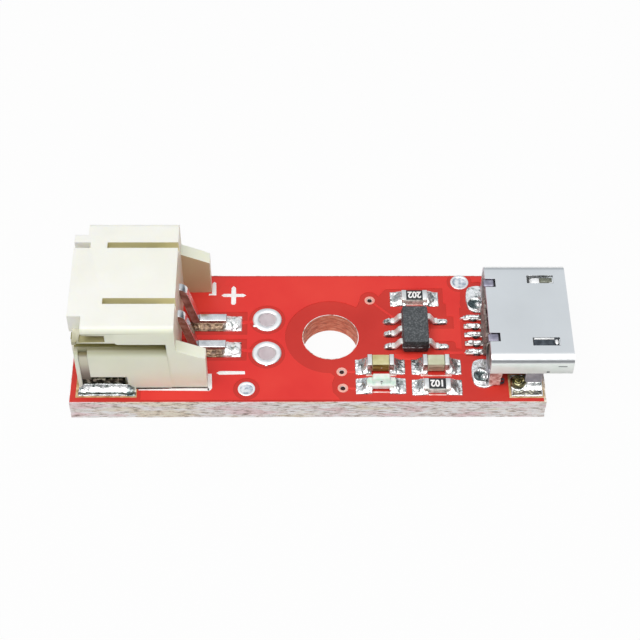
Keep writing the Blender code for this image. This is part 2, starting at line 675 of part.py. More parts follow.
def charging_socket_insulator(material):
    """Moulded block that fills the rear of the shell, with the contact tongue in front."""
    middle = at(PORT_REAR_X, PORT_CENTRE_Y)
    start = INSULATOR_SETBACK
    end = start + INSULATOR_LENGTH
    section = port_outline(PORT_SHEET + INSULATOR_CLEARANCE)
    block = piece("charging_socket_insulator", prism(section, start, end, axis="x"), material, middle)
    tongue = bmesh.new()
    add_box(tongue, (end - INSULATOR_LENGTH / 3, -TONGUE_WIDTH / 2, TONGUE_HEIGHT),
            (end + TONGUE_LENGTH, TONGUE_WIDTH / 2, TONGUE_HEIGHT + TONGUE_THICKNESS))
    bevelled = [edge for edge in tongue.edges if all(corner.co.x > end for corner in edge.verts)]
    bmesh.ops.bevel(tongue, geom=bevelled, offset=TONGUE_THICKNESS / 4, segments=2, affect="EDGES")
    change(block, piece("tongue", tongue, material, middle, smooth=False), "UNION")
    lugs = bmesh.new()
    for side in SIDES.values():
        y = side * REAR_NOTCH_SPACING / 2
        width = REAR_NOTCH_WIDTH / 2 - 2 * INSULATOR_CLEARANCE
        add_box(lugs, (start + INSULATOR_CLEARANCE, y - width, PORT_TOP - 3 * PORT_SHEET),
                (REAR_NOTCH_LENGTH - 2 * INSULATOR_CLEARANCE, y + width, PORT_TOP - PORT_SHEET / 3))
    change(block, piece("lugs", lugs, material, middle, smooth=False), "UNION")
    channels = bmesh.new()
    half = PORT_CONTACT_WIDTH / 2 + SEAT
    low = PORT_CONTACT_RISE - SEAT
    high = PORT_CONTACT_RISE + PORT_CONTACT_THICKNESS + SEAT
    for y in port_contact_places():
        add_box(channels, (start - PORT_SHEET, y - half, low), (end + PORT_SHEET, y + half, high))
    change(block, piece("channels", channels, material, middle, smooth=False))


def charging_socket_contacts(material):
    """Five thin strips, soldered behind the socket and running under its tongue."""
    for i, y in enumerate(port_contact_places(), start=1):
        bm = strip(port_contact_path(), PORT_CONTACT_THICKNESS, PORT_CONTACT_WIDTH)
        piece(f"charging_contact_{i}", bm, material, at(PORT_REAR_X, PORT_CENTRE_Y + y))


def charger_chip(material):
    """Moulded body with a waist where its two halves meet, narrower at the top and the bottom."""
    rings = []
    for z, draft in ((CHIP_STANDOFF, CHIP_DRAFT), (CHIP_WAIST, 0.0), (CHIP_HEIGHT, CHIP_DRAFT)):
        half_x, half_y = CHIP_WIDTH / 2 - draft, CHIP_LENGTH / 2 - draft
        edge = rounded_rectangle((-half_x, -half_y), (half_x, half_y), CHIP_DRAFT, steps=1)
        rings.append([Vector((x, y, z)) for x, y in edge])
    body = piece("charger_chip", loft(rings), material, at(CHIP_X, CHIP_Y), smooth=False)
    sockets = bmesh.new()
    half = LEAD_WIDTH / 2 + SEAT
    thick = LEAD_THICKNESS / 2 + SEAT
    for _, side, y in lead_places():
        edges = sorted((side * CHIP_WIDTH, side * (CHIP_WIDTH / 2 - 2 * LEAD_THICKNESS - SEAT)))
        add_box(sockets, (edges[0], y - half, LEAD_HEIGHT - thick),
                (edges[1], y + half, LEAD_HEIGHT + thick))
    change(body, piece("lead_sockets", sockets, material, at(CHIP_X, CHIP_Y), smooth=False))


def lead_places():
    """Number, side and place along the body of each chip lead."""
    left = [(1 + i, -1, (1 - i) * LEAD_PITCH) for i in range(3)]
    right = [(4 + i, 1, (2 * i - 1) * LEAD_PITCH) for i in range(2)]
    return left + right


def chip_leads(material):
    """Gull-wing leads: out of the body, down and flat on the pad."""
    foot_z = SOLDER_SKIN + SEAT + LEAD_THICKNESS / 2
    root = CHIP_WIDTH / 2 - 2 * LEAD_THICKNESS
    toe = LEAD_SPAN / 2
    heel = toe - LEAD_FOOT_LENGTH
    elbow = CHIP_WIDTH / 2 + LEAD_THICKNESS
    for number, side, y in lead_places():
        corners = [(side * root, LEAD_HEIGHT), (side * elbow, LEAD_HEIGHT),
                   (side * heel, foot_z), (side * toe, foot_z)]
        path = bend_path(corners, LEAD_BEND_RADIUS, steps=3)
        piece(f"chip_lead_{number}", strip(path, LEAD_THICKNESS, LEAD_WIDTH), material,
              at(CHIP_X, CHIP_Y + y))
        pad = sorted((side * LEAD_PAD_REACH, side * (heel - LEAD_THICKNESS)))
        seat = sorted((side * (toe + LEAD_THICKNESS), side * heel))
        held = [((CHIP_X + min(side * (toe + SEAT), 0), CHIP_Y + y - LEAD_WIDTH / 2 - SEAT,
                  SOLDER_SKIN),
                 (CHIP_X + max(side * (toe + SEAT), 0), CHIP_Y + y + LEAD_WIDTH / 2 + SEAT,
                  LEAD_HEIGHT))]
        centre_y = CHIP_Y + y
        solder_skirt(f"chip_lead_solder_{number}",
                     (CHIP_X + pad[0], CHIP_X + pad[1],
                      centre_y - LEAD_PAD_WIDTH / 2, centre_y + LEAD_PAD_WIDTH / 2),
                     (CHIP_X + seat[0], CHIP_X + seat[1],
                      centre_y - LEAD_WIDTH / 2, centre_y + LEAD_WIDTH / 2),
                     SOLDER_SKIN + LEAD_THICKNESS, held, material)


def chip_part(name, place, height, solder_height, body_material, cap_material, solder):
    """A resistor or capacitor: a block between two metal end caps, with solder at both ends."""
    half_x, half_y = FOOTPRINT_LENGTH / 2, FOOTPRINT_WIDTH / 2
    base = SOLDER_SKIN + SEAT
    inner = half_x - END_CAP_LENGTH
    ease = FOOTPRINT_WIDTH / 30
    block = box((-inner + SEAT, -half_y + ease, base + PART_STANDOFF),
                (inner - SEAT, half_y - ease, height - ease))
    piece(f"{name}_body", block, body_material, at(*place), smooth=False)
    for end, side in (("left", -1), ("right", 1)):
        edges = sorted((side * inner, side * half_x))
        cap = box((edges[0], -half_y, base), (edges[1], half_y, height))
        outer = [edge for edge in cap.edges if all(corner.co.x * side > inner for corner in edge.verts)]
        bmesh.ops.bevel(cap, geom=outer, offset=ease, segments=1, affect="EDGES")
        piece(f"{name}_cap_{end}", cap, cap_material, at(*place), smooth=False)
        part_solder(f"{name}_solder_{end}", place, side, solder_height, height, solder)


def part_solder(name, place, side, climb, height, material):
    """The solder under, beside and beyond one end of a chip part."""
    half_x, half_y = FOOTPRINT_LENGTH / 2, FOOTPRINT_WIDTH / 2
    pad = sorted((side * PART_PAD_SPAN / 2, side * (PART_PAD_SPAN / 2 - PART_PAD_LENGTH)))
    seat = sorted((side * half_x, side * (half_x - END_CAP_LENGTH)))
    reach = sorted((side * (half_x + SEAT), 0.0))
    held = [((place[0] + reach[0], place[1] - half_y - SEAT, SOLDER_SKIN),
             (place[0] + reach[1], place[1] + half_y + SEAT, 2 * height))]
    solder_skirt(name,
                 (place[0] + pad[0], place[0] + pad[1],
                  place[1] - PART_PAD_WIDTH / 2, place[1] + PART_PAD_WIDTH / 2),
                 (place[0] + seat[0], place[0] + seat[1], place[1] - half_y, place[1] + half_y),
                 climb, held, material)


def status_light(base_material, lens_material, terminal_material, solder):
    """A small white light: flat base, clear lens block and a metal terminal under each end."""
    half_x, half_y = FOOTPRINT_LENGTH / 2, FOOTPRINT_WIDTH / 2
    low = SOLDER_SKIN + SEAT
    spot = at(LIGHT_X, LIGHT_Y)
    terminal_top = low + LIGHT_BASE_HEIGHT / 2
    step_x = half_x - LIGHT_TERMINAL_LENGTH - SEAT
    outline = [(-step_x, low + PART_STANDOFF), (step_x, low + PART_STANDOFF), (step_x, terminal_top + SEAT),
               (half_x, terminal_top + SEAT), (half_x, low + LIGHT_BASE_HEIGHT),
               (-half_x, low + LIGHT_BASE_HEIGHT), (-half_x, terminal_top + SEAT),
               (-step_x, terminal_top + SEAT)]
    piece("status_light_base", prism(outline, -half_y, half_y, axis="y"), base_material, spot, smooth=False)
    lens_low = low + LIGHT_BASE_HEIGHT + SEAT
    rings = []
    for z, taper in ((lens_low, 0.0), (lens_low + LIGHT_LENS_HEIGHT, LIGHT_LENS_TAPER)):
        reach_x, reach_y = LIGHT_LENS_LENGTH / 2 - taper, LIGHT_LENS_WIDTH / 2 - taper
        edge = rounded_rectangle((-reach_x, -reach_y), (reach_x, reach_y), LIGHT_LENS_TAPER, steps=2)
        rings.append([Vector((x, y, z)) for x, y in edge])
    piece("status_light_lens", loft(rings), lens_material, spot)
    for end, side in (("left", -1), ("right", 1)):
        edges = sorted((side * (half_x - LIGHT_TERMINAL_LENGTH), side * half_x))
        terminal = box((edges[0], -half_y, low), (edges[1], half_y, terminal_top))
        piece(f"status_light_terminal_{end}", terminal, terminal_material, spot, smooth=False)
        part_solder(f"status_light_solder_{end}", (LIGHT_X, LIGHT_Y), side,
                    terminal_top, terminal_top, solder)


def battery_socket_solder(material):
    """Solder under and beyond each battery contact, and along each anchor plate."""
    foot_start = SOCKET_REAR_X + CONTACT_RUN_OUT + CONTACT_SLOPE_RUN
    foot_end = foot_start + CONTACT_FOOT_LENGTH
    for name, y in contact_places().items():
        pad_y = y
        pin_y = SOCKET_CENTRE_Y + y
        grip = CONTACT_SIZE / 2 + SEAT
        held = [((SOCKET_REAR_X, pin_y - grip, SOLDER_SKIN),
                 (foot_end + SEAT, pin_y + grip, CONTACT_HEIGHT))]
        solder_skirt(f"battery_contact_solder_{name}",
                     (CONTACT_PAD_END - CONTACT_PAD_LENGTH, CONTACT_PAD_END,
                      pad_y - CONTACT_PAD_WIDTH / 2, pad_y + CONTACT_PAD_WIDTH / 2),
                     (foot_start, foot_end + CONTACT_SOLDER_REACH, pin_y - grip, pin_y + grip),
                     CONTACT_SOLDER_HEIGHT, held, material)
    start = socket_spans()[1] + ANCHOR_FRONT_LIP
    for name, side in SIDES.items():
        outer = SOCKET_CENTRE_Y + side * (SOCKET_WIDTH / 2 - ANCHOR_INSET)
        edge = side * ANCHOR_PAD_REACH
        flank = SOCKET_CENTRE_Y + side * SOCKET_WIDTH / 2
        pad_y = sorted((edge, flank + side * SEAT))
        seat_y = sorted((outer + side * SOLDER_SKIN, flank + side * SEAT))
        solder_skirt(f"anchor_solder_{name}",
                     (ANCHOR_PAD_START, ANCHOR_PAD_START + ANCHOR_PAD_LENGTH, pad_y[0], pad_y[1]),
                     (start, start + ANCHOR_BAR_LENGTH, min(seat_y), max(seat_y)),
                     ANCHOR_SOLDER_HEIGHT, [], material)


def charging_socket_solder(material):
    """Solder on the two front pads, beside the legs, and on the two oval pads behind the shell."""
    half = PORT_WIDTH / 2
    leg_start = PORT_REAR_X + PORT_FRONT_LEG_START
    leg_end = leg_start + PORT_FRONT_LEG_LENGTH
    pad_end = BOARD_LENGTH - PORT_PAD_SETBACK
    for name, side in SIDES.items():
        outer_edge = side * PORT_PAD_REACH
        leg_face = PORT_CENTRE_Y + side * (half + SEAT)
        pad_y = sorted((outer_edge, outer_edge - side * PORT_PAD_WIDTH))
        seat_y = sorted((leg_face + side * SOLDER_SKIN, leg_face - side * PORT_SHEET))
        leg_y = sorted((leg_face, PORT_CENTRE_Y + side * (half - PORT_SHEET - SEAT)))
        held = [((leg_start - SEAT, leg_y[0], SOLDER_SKIN), (leg_end + SEAT, leg_y[1], PORT_TOP))]
        solder_skirt(f"front_leg_solder_{name}",
                     (pad_end - PORT_PAD_LENGTH, pad_end, pad_y[0], pad_y[1]),
                     (leg_start - SOLDER_SKIN, leg_end, seat_y[0], seat_y[1]),
                     LEG_SOLDER_HEIGHT, held, material)
        oval_pad(name, side, material)


def oval_pad(name, side, material):
    """A flat oval of solder with a round recess and a bead in it, under the shell's rear leg."""
    y = PORT_CENTRE_Y + side * OVAL_PAD_SPACING / 2
    middle = at(OVAL_PAD_START + OVAL_PAD_WIDTH / 2, y)
    half_x, half_y = OVAL_PAD_WIDTH / 2, OVAL_PAD_LENGTH / 2
    outline = rounded_rectangle((-half_x, -half_y), (half_x, half_y), half_x, steps=6)
    ease = SOLDER_SKIN / 2
    eased_x, eased_y = half_x - ease, half_y - ease
    inner = rounded_rectangle((-eased_x, -eased_y), (eased_x, eased_y), half_x, steps=6)
    rings = [[Vector((x, y, z)) for x, y in ring]
             for ring, z in ((outline, SEAT), (outline, ease), (inner, SOLDER_SKIN))]
    pad = piece(f"rear_leg_solder_{name}", loft(rings), material, middle)
    recess_x = OVAL_RECESS_PLACE - half_x
    recess_y = -side * (half_y - half_x)
    outer, inner = OVAL_RECESS_DIAMETER / 2, OVAL_BEAD_DIAMETER / 2
    ring = bmesh.new()
    rows = []
    for i in range(24):
        turn = 2 * math.pi * i / 24
        rows.append([ring.verts.new((recess_x + r * math.cos(turn), recess_y + r * math.sin(turn), z))
                     for r, z in ((inner, SOLDER_SKIN / 2), (outer, SOLDER_SKIN / 2),
                                  (outer, 2 * SOLDER_SKIN), (inner, 2 * SOLDER_SKIN))])
    for row, following in zip(rows, rows[1:] + rows[:1]):
        for i in range(4):
            j = (i + 1) % 4
            ring.faces.new((row[i], row[j], following[j], following[i]))
    change(pad, piece("bead_groove", ring, material, middle, smooth=False))


def build_module():
    """Make every piece of the module with its finish."""
    for old in list(bpy.data.objects):
        bpy.data.objects.remove(old, do_unlink=True)

    board = finish("board_laminate_red", (0.62, 0.03, 0.02), 0.4)
    ivory = finish("housing_nylon_ivory", (0.86, 0.84, 0.74), 0.45)
    tin = finish("tinned_copper", (0.70, 0.69, 0.66), 0.3, 1.0)
    solder = finish("solder_tin", (0.80, 0.81, 0.82), 0.22, 1.0)
    steel = finish("shell_plated_steel", (0.72, 0.74, 0.76), 0.28, 1.0)
    black = finish("insulator_plastic_black", (0.03, 0.03, 0.035), 0.5)
    epoxy = finish("chip_epoxy_black", (0.05, 0.055, 0.06), 0.55)
    film = finish("resistor_film_black", (0.02, 0.02, 0.022), 0.35)
    cap = finish("end_cap_tin", (0.82, 0.82, 0.80), 0.3, 1.0)
    ceramic = finish("capacitor_ceramic_tan", (0.58, 0.52, 0.33), 0.5)
    pale_ceramic = finish("capacitor_ceramic_cream", (0.78, 0.72, 0.55), 0.5)
    light_base = finish("light_base_white", (0.85, 0.88, 0.84), 0.5)
    lens = finish("light_lens_white", (0.9, 0.92, 0.88), 0.2)

    circuit_board(board)
    plated_holes(tin)
    battery_socket_housing(ivory)
    battery_contacts(tin)
    anchor_plates(tin)
    battery_socket_solder(solder)
    charging_socket_shell(steel)
    charging_socket_insulator(black)
    charging_socket_contacts(tin)
    charging_socket_solder(solder)
    charger_chip(epoxy)
    chip_leads(tin)
    chip_part("current_resistor", (CURRENT_RESISTOR_X, CURRENT_RESISTOR_Y),
              RESISTOR_HEIGHT, RESISTOR_SOLDER_HEIGHT, film, cap, solder)
    chip_part("light_resistor", (LIGHT_RESISTOR_X, LIGHT_RESISTOR_Y),
              RESISTOR_HEIGHT, RESISTOR_SOLDER_HEIGHT, film, cap, solder)
    chip_part("output_capacitor", (OUTPUT_CAPACITOR_X, OUTPUT_CAPACITOR_Y),
              CAPACITOR_HEIGHT, CAPACITOR_SOLDER_HEIGHT, ceramic, cap, solder)
    chip_part("input_capacitor", (INPUT_CAPACITOR_X, INPUT_CAPACITOR_Y),
              CAPACITOR_HEIGHT, CAPACITOR_SOLDER_HEIGHT, pale_ceramic, cap, solder)
    status_light(light_base, lens, cap, solder)


build_module()
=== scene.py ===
"""A small red battery charger module, lying flat on a white studio floor.

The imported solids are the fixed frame. Each section below makes one piece of the module, in
the order it is put together: the board, what is printed and plated on it, the two sockets,
and the parts between them.
"""

import math

import bpy
from mathutils import Matrix, Vector, noise


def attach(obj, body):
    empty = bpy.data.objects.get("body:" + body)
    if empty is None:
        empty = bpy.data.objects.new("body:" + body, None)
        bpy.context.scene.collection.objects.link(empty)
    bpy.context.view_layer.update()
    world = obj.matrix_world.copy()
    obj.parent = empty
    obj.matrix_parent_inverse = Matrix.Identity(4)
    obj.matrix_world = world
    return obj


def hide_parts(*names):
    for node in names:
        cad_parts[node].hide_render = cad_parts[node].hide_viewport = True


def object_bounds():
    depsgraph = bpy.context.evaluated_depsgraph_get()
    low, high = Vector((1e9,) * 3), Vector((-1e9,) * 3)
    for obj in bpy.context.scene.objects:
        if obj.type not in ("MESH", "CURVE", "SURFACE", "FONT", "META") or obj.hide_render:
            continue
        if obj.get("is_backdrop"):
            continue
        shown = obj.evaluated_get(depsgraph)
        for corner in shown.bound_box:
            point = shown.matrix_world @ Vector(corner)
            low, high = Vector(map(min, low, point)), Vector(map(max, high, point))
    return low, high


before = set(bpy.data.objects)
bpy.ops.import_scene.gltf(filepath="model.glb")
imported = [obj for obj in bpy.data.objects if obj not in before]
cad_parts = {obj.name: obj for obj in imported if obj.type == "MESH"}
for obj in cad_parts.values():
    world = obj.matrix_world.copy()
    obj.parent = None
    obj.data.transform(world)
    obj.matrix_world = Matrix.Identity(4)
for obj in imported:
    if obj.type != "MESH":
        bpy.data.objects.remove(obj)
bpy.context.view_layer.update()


# Camera. The photograph looks down at the module's long side with a long lens, a touch
# off square and a touch rolled.
bpy.ops.object.camera_add()
camera = bpy.context.object
camera.name = "camera"
camera.matrix_world = (
    Matrix.Translation((-0.001129, -0.060326, 0.080416))
    @ Matrix.Rotation(math.radians(-1.053), 4, "Z")
    @ Matrix.Rotation(math.radians(90 - 51.979), 4, "X")
    @ Matrix.Rotation(math.radians(0.777), 4, "Z")
)
camera.data.lens = 92.256
camera.data.sensor_width = 36.0
camera.data.clip_start = 0.001
bpy.context.scene.camera = camera
bpy.context.scene.view_settings.view_transform = "Standard"


# Studio. A broad soft lamp overhead, a little on the camera's side, and a pale room that
# polished metal mirrors: white above, grey in front, behind and at both sides.
def linear(code):
    """An sRGB hex colour as linear red, green, blue and alpha."""
    parts = [int(code[i:i + 2], 16) / 255 for i in (1, 3, 5)]
    return [c / 12.92 if c <= 0.04045 else ((c + 0.055) / 1.055) ** 2.4 for c in parts] + [1.0]


def add_node(tree, kind, inputs=None, stops=None, **settings):
    """Add a node with its settings, its inputs and a ramp's stops.

    An input is a value, an output, or a node whose first output is meant. Stops are pairs of
    a place and a colour, or colours alone, which go evenly from 0.3 to 0.7.
    """
    item = tree.nodes.new("ShaderNode" + kind)
    for name, value in settings.items():
        setattr(item, name, value)
    for key, value in (inputs or {}).items():
        value = value.outputs[0] if isinstance(value, bpy.types.Node) else value
        if isinstance(value, bpy.types.NodeSocket):
            tree.links.new(value, item.inputs[key])
        else:
            item.inputs[key].default_value = value
    if stops and isinstance(stops[0], str):
        stops = [(0.3 + 0.4 * i / (len(stops) - 1), code) for i, code in enumerate(stops)]
    for i, (place, code) in enumerate(stops or ()):
        band = item.color_ramp.elements
        element = band[i] if i < 2 else band.new(place)
        element.position = place
        element.color = linear(code)
    return item


WHITE = (1.0, 1.0, 1.0, 1.0)
world = bpy.data.worlds.new("studio_room")
bpy.context.scene.world = world
world.use_nodes = True
tree = world.node_tree
tree.nodes.clear()
rays = add_node(tree, "LightPath")
way = add_node(tree, "TexCoord")
split = add_node(tree, "SeparateXYZ", {"Vector": way.outputs["Generated"]})
depth = add_node(tree, "MapRange", {"Value": split.outputs["Y"], "From Min": -1.0, "From Max": 1.0})
front_to_back = add_node(
    tree, "ValToRGB", {"Fac": depth},
    stops=[(0.0, "#6E7276"), (0.06, "#808387"), (0.13, "#F2F2F2"), (0.3, "#FFFFFF"), (0.6, "#FFFFFF"),
           (0.78, "#E6EBF0"), (0.86, "#DDE3E8"), (1.0, "#B4B8BC")],
)
width = add_node(tree, "Math", {0: split.outputs["X"]}, operation="ABSOLUTE")
side_to_side = add_node(
    tree, "ValToRGB", {"Fac": width},
    stops=[(0.0, "#FFFFFF"), (0.45, "#F4F4F4"), (0.72, "#7C7E82"), (1.0, "#3C3E42")],
)
mirrored = add_node(
    tree, "Mix", {0: 1.0, 6: front_to_back, 7: side_to_side},
    data_type="RGBA", blend_type="MULTIPLY",
)
seen = add_node(
    tree, "Mix", {0: rays.outputs["Is Camera Ray"], 6: mirrored.outputs[2], 7: WHITE}, data_type="RGBA",
)
shown = add_node(tree, "Background", {"Color": seen.outputs[2], "Strength": 1.0})
lit = add_node(tree, "Background", {"Color": WHITE, "Strength": 0.38})
straight = add_node(
    tree, "Math", {0: rays.outputs["Is Camera Ray"], 1: rays.outputs["Is Glossy Ray"]}, operation="MAXIMUM",
)
clear = add_node(tree, "Math", {0: straight, 1: rays.outputs["Is Transmission Ray"]}, operation="MAXIMUM")
both = add_node(tree, "MixShader", {0: clear, 1: lit, 2: shown})
add_node(tree, "OutputWorld", {"Surface": both})

bpy.ops.object.light_add(type="AREA", location=(-0.03, -0.06, 0.22))
softbox = bpy.context.object
softbox.name = "softbox"
softbox.data.shape = "RECTANGLE"
softbox.data.size = 0.24
softbox.data.size_y = 0.18
softbox.data.energy = 0.42
softbox.rotation_euler = Vector((0.03, 0.06, -0.22)).to_track_quat("-Z", "Y").to_euler()


# Floor. Plain white paper, which keeps the module's own soft shadow.
bpy.ops.mesh.primitive_plane_add(size=3.0, location=(0, 0, -0.00001))
floor = bpy.context.object
floor.name = "floor"
paper = bpy.data.materials.new("floor_paper")
paper.use_nodes = True
tree = paper.node_tree
tree.nodes.clear()
rays = add_node(tree, "LightPath")
matt = add_node(tree, "BsdfDiffuse", {"Color": (0.7, 0.7, 0.7, 1.0)})
white = add_node(tree, "Emission", {"Color": WHITE, "Strength": 1.0})
straight = add_node(
    tree, "Math", {0: rays.outputs["Is Camera Ray"], 1: rays.outputs["Is Glossy Ray"]}, operation="MAXIMUM",
)
share = add_node(tree, "Math", {0: straight, 1: 0.95}, operation="MULTIPLY")
both = add_node(tree, "MixShader", {0: share, 1: matt, 2: white})
add_node(tree, "OutputMaterial", {"Surface": both})
floor.data.materials.append(paper)
floor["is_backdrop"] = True


# Laminate core. Woven glass in epoxy, 1.6 mm thick, milled on its long sides and broken off
# at its right end, so that its edges are rough and streaked where the glass layers end.
MM = 0.001
middle_x, middle_y, thickness = 14.79, 4.825, 1.6


def at(x, y, z=0.0):
    """A place in mm from the battery end, the near edge and the board's top, in metres."""
    return Vector(((x - middle_x) * MM, (y - middle_y) * MM, (z + thickness) * MM))


def on_board(spot):
    """The other way round: a place in metres, as mm from the same end, edge and top."""
    return spot.x / MM + middle_x, spot.y / MM + middle_y, spot.z / MM - thickness


def pick(piece):
    """Select a piece alone, and make it the one that is worked on."""
    bpy.ops.object.select_all(action="DESELECT")
    piece.select_set(True)
    bpy.context.view_layer.objects.active = piece


def start(name):
    """Pick the new primitive and name it."""
    piece = bpy.context.object
    pick(piece)
    piece.name = name
    piece.data.name = name
    return piece


def settle(piece, squash=None):
    """Squash a piece about its middle, and put its place, turn and size in its mesh."""
    pick(piece)
    if squash:
        bpy.ops.transform.resize(value=squash)
    bpy.ops.object.transform_apply(location=True, rotation=True, scale=True)


def edit(piece, *steps):
    """Run mesh steps with their settings, each on the whole piece."""
    pick(piece)
    bpy.ops.object.mode_set(mode="EDIT")
    for step, settings in steps:
        bpy.ops.mesh.select_all(action="SELECT")
        step(**settings)
    bpy.ops.object.mode_set(mode="OBJECT")


def block(name, low, high):
    """A block between two places on the board."""
    a, b = at(*low), at(*high)
    bpy.ops.mesh.primitive_cube_add(size=1.0, location=(a + b) / 2, scale=b - a)
    piece = start(name)
    settle(piece)
    return piece


OUTWARDS = (bpy.ops.mesh.normals_make_consistent, {"inside": False})


def prism(name, points, low, high, axis="z"):
    """A plate with a free outline. Its points are in mm, on the board or from the side."""
    bpy.ops.mesh.primitive_circle_add(vertices=len(points), radius=MM, fill_type="NGON")
    piece = start(name)
    for corner, (u, v) in zip(piece.data.vertices, points):
        corner.co = at(u, v, low) if axis == "z" else at(u, low, v) if axis == "y" else at(low, u, v)
    way = {"x": (1, 0, 0), "y": (0, 1, 0), "z": (0, 0, 1)}[axis]
    move = {"value": [part * (high - low) * MM for part in way]}
    edit(piece, (bpy.ops.mesh.extrude_region_move, {"TRANSFORM_OT_translate": move}), OUTWARDS)
    return piece


def apply(piece, kind, **settings):
    """Add a modifier with its settings and apply it."""
    step = piece.modifiers.new(kind.title(), kind)
    for name, value in settings.items():
        setattr(step, name, value)
    bpy.context.view_layer.objects.active = piece
    bpy.ops.object.modifier_apply(modifier=step.name)


def cut(piece, *tools):
    """Cut a piece with tools, and remove the tools."""
    for tool in tools:
        apply(piece, "BOOLEAN", operation="DIFFERENCE", object=tool, solver="EXACT")
        bpy.data.objects.remove(tool, do_unlink=True)


def rod(name, x, y, low, high, size, count=72):
    """An upright cylinder between two heights, with its diameter in mm."""
    bpy.ops.mesh.primitive_cylinder_add(
        vertices=count, radius=size * MM / 2, depth=(high - low) * MM, location=at(x, y, (low + high) / 2)
    )
    piece = start(name)
    settle(piece)
    return piece


def drill(places, low, high):
    """Round tools for holes, joined in one. Each place is x, y and a diameter in mm."""
    tools = [rod("drill", x, y, low, high, size) for x, y, size in places]
    pick(tools[0])
    for tool in tools:
        tool.select_set(True)
    bpy.ops.object.join()
    return tools[0]


def ease(piece, width, segments=2, angle=40):
    """Round a piece's edges, and shade it smooth but for its corners."""
    apply(piece, "BEVEL", width=width * MM, segments=segments, limit_method="ANGLE",
          angle_limit=math.radians(angle), use_clamp_overlap=True)
    pick(piece)
    bpy.ops.object.shade_smooth_by_angle(angle=math.radians(angle))
    apply(piece, "WEIGHTED_NORMAL", mode="FACE_AREA", weight=50, keep_sharp=True)


def dress(piece, slot, *materials, replaces=""):
    """Give a piece its finish, and let it ride with the module. Its slot is not used."""
    piece.data.materials.clear()
    for material in materials:
        piece.data.materials.append(material)
    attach(piece, "root")
    if replaces:
        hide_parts(replaces)


def make(piece, width, slot, *materials, segments=2, replaces=""):
    """Ease a piece's edges and dress it."""
    ease(piece, width, segments)
    dress(piece, slot, *materials, replaces=replaces)
    return piece


def paint(piece, index, chosen):
    """Give another finish to the faces that are chosen by x, y and z in mm and their normal."""
    for face in piece.data.polygons:
        if chosen(*on_board(face.center), face.normal):
            face.material_index = index


def new_material(name, roughness, metallic=0.0, specular=0.5):
    """A material, its tree and shader, and the object's own coordinates."""
    material = bpy.data.materials.new(name)
    material.use_nodes = True
    tree = material.node_tree
    shader = tree.nodes["Principled BSDF"]
    shader.inputs["Roughness"].default_value = roughness
    shader.inputs["Metallic"].default_value = metallic
    shader.inputs["Specular IOR Level"].default_value = specular
    coords = add_node(tree, "TexCoord")
    return material, tree, shader, coords.outputs["Object"]


def coat(tree, shader, colour, height, strength, depth):
    """Give a shader its colour, and a relief that follows a height."""
    tree.links.new(colour, shader.inputs["Base Color"])
    relief = add_node(tree, "Bump", {"Strength": strength, "Distance": depth, "Height": height})
    tree.links.new(relief.outputs["Normal"], shader.inputs["Normal"])


def mottled(name, stops, roughness, scale, detail=4.0, bump=None, metallic=0.0, harsh=0.5):
    """A material whose colour and relief follow one noise, with one scale or one per axis."""
    material, tree, shader, coords = new_material(name, roughness, metallic)
    if isinstance(scale, tuple):
        stretch = add_node(tree, "Mapping", {"Vector": coords, "Scale": scale})
        coords, scale = stretch.outputs[0], 1.0
    grain = add_node(
        tree, "TexNoise", {"Vector": coords, "Scale": scale, "Detail": detail, "Roughness": harsh},
    )
    tint = add_node(tree, "ValToRGB", {"Fac": grain}, stops=stops)
    if bump:
        coat(tree, shader, tint.outputs["Color"], grain, *bump)
    else:
        tree.links.new(tint.outputs["Color"], shader.inputs["Base Color"])
    return material


mount_x, mount_y, mount_size = 15.42, 4.84, 3.33
plated_x = 11.58
VIAS = [(17.86, 7.64, 0.3), (16.06, 2.2, 0.3), (16.11, 1.01, 0.3)]
HOLES = [(mount_x, mount_y, mount_size), (plated_x, 6.095, 1.14), (plated_x, 3.555, 1.14)] + VIAS

# Milled glass-epoxy: the ends of the glass layers show as broken streaks, each about a
# tenth of a millimetre thick and one millimetre long, in white, beige, pink and grey.
laminate_edge, tree, shader, coords = new_material("milled_glass_epoxy", 0.7)
stretch = add_node(tree, "Mapping", {"Vector": coords, "Scale": (1700, 1700, 10500)})
layers = add_node(tree, "TexNoise", {"Vector": stretch, "Scale": 1.0, "Detail": 6.0, "Roughness": 0.7})
streaks = add_node(
    tree, "ValToRGB", {"Fac": layers},
    stops=[(0.36, "#8A7E76"), (0.42, "#C4B8B0"), (0.46, "#EEE4DE"), (0.5, "#FDF2F0"), (0.55, "#FFFFFF"),
           (0.64, "#FFFFFF")],
)
broad = add_node(tree, "Mapping", {"Vector": coords, "Scale": (320, 320, 1800)})
drift = add_node(tree, "TexNoise", {"Vector": broad, "Scale": 1.0, "Detail": 2.0})
warm = add_node(
    tree, "ValToRGB", {"Fac": drift},
    stops=[(0.36, "#F4ECD6"), (0.46, "#FFFFFF"), (0.54, "#FFFFFF"), (0.64, "#F6DCE0")],
)
tinted = add_node(tree, "Mix", {0: 0.8, 6: streaks, 7: warm}, data_type="RGBA", blend_type="MULTIPLY")
coat(tree, shader, tinted.outputs[2], layers, 0.9, 0.00006)

# Drilled glass-epoxy: the wall of the mounting hole, a warm tan with faint drill rings.
drilled_wall = mottled(
    "drilled_glass_epoxy", [(0.36, "#C26850"), (0.5, "#E08062"), (0.62, "#F0A688")],
    0.6, (1900, 1900, 7200), 5.0, (0.7, 0.00004), harsh=0.6,
)

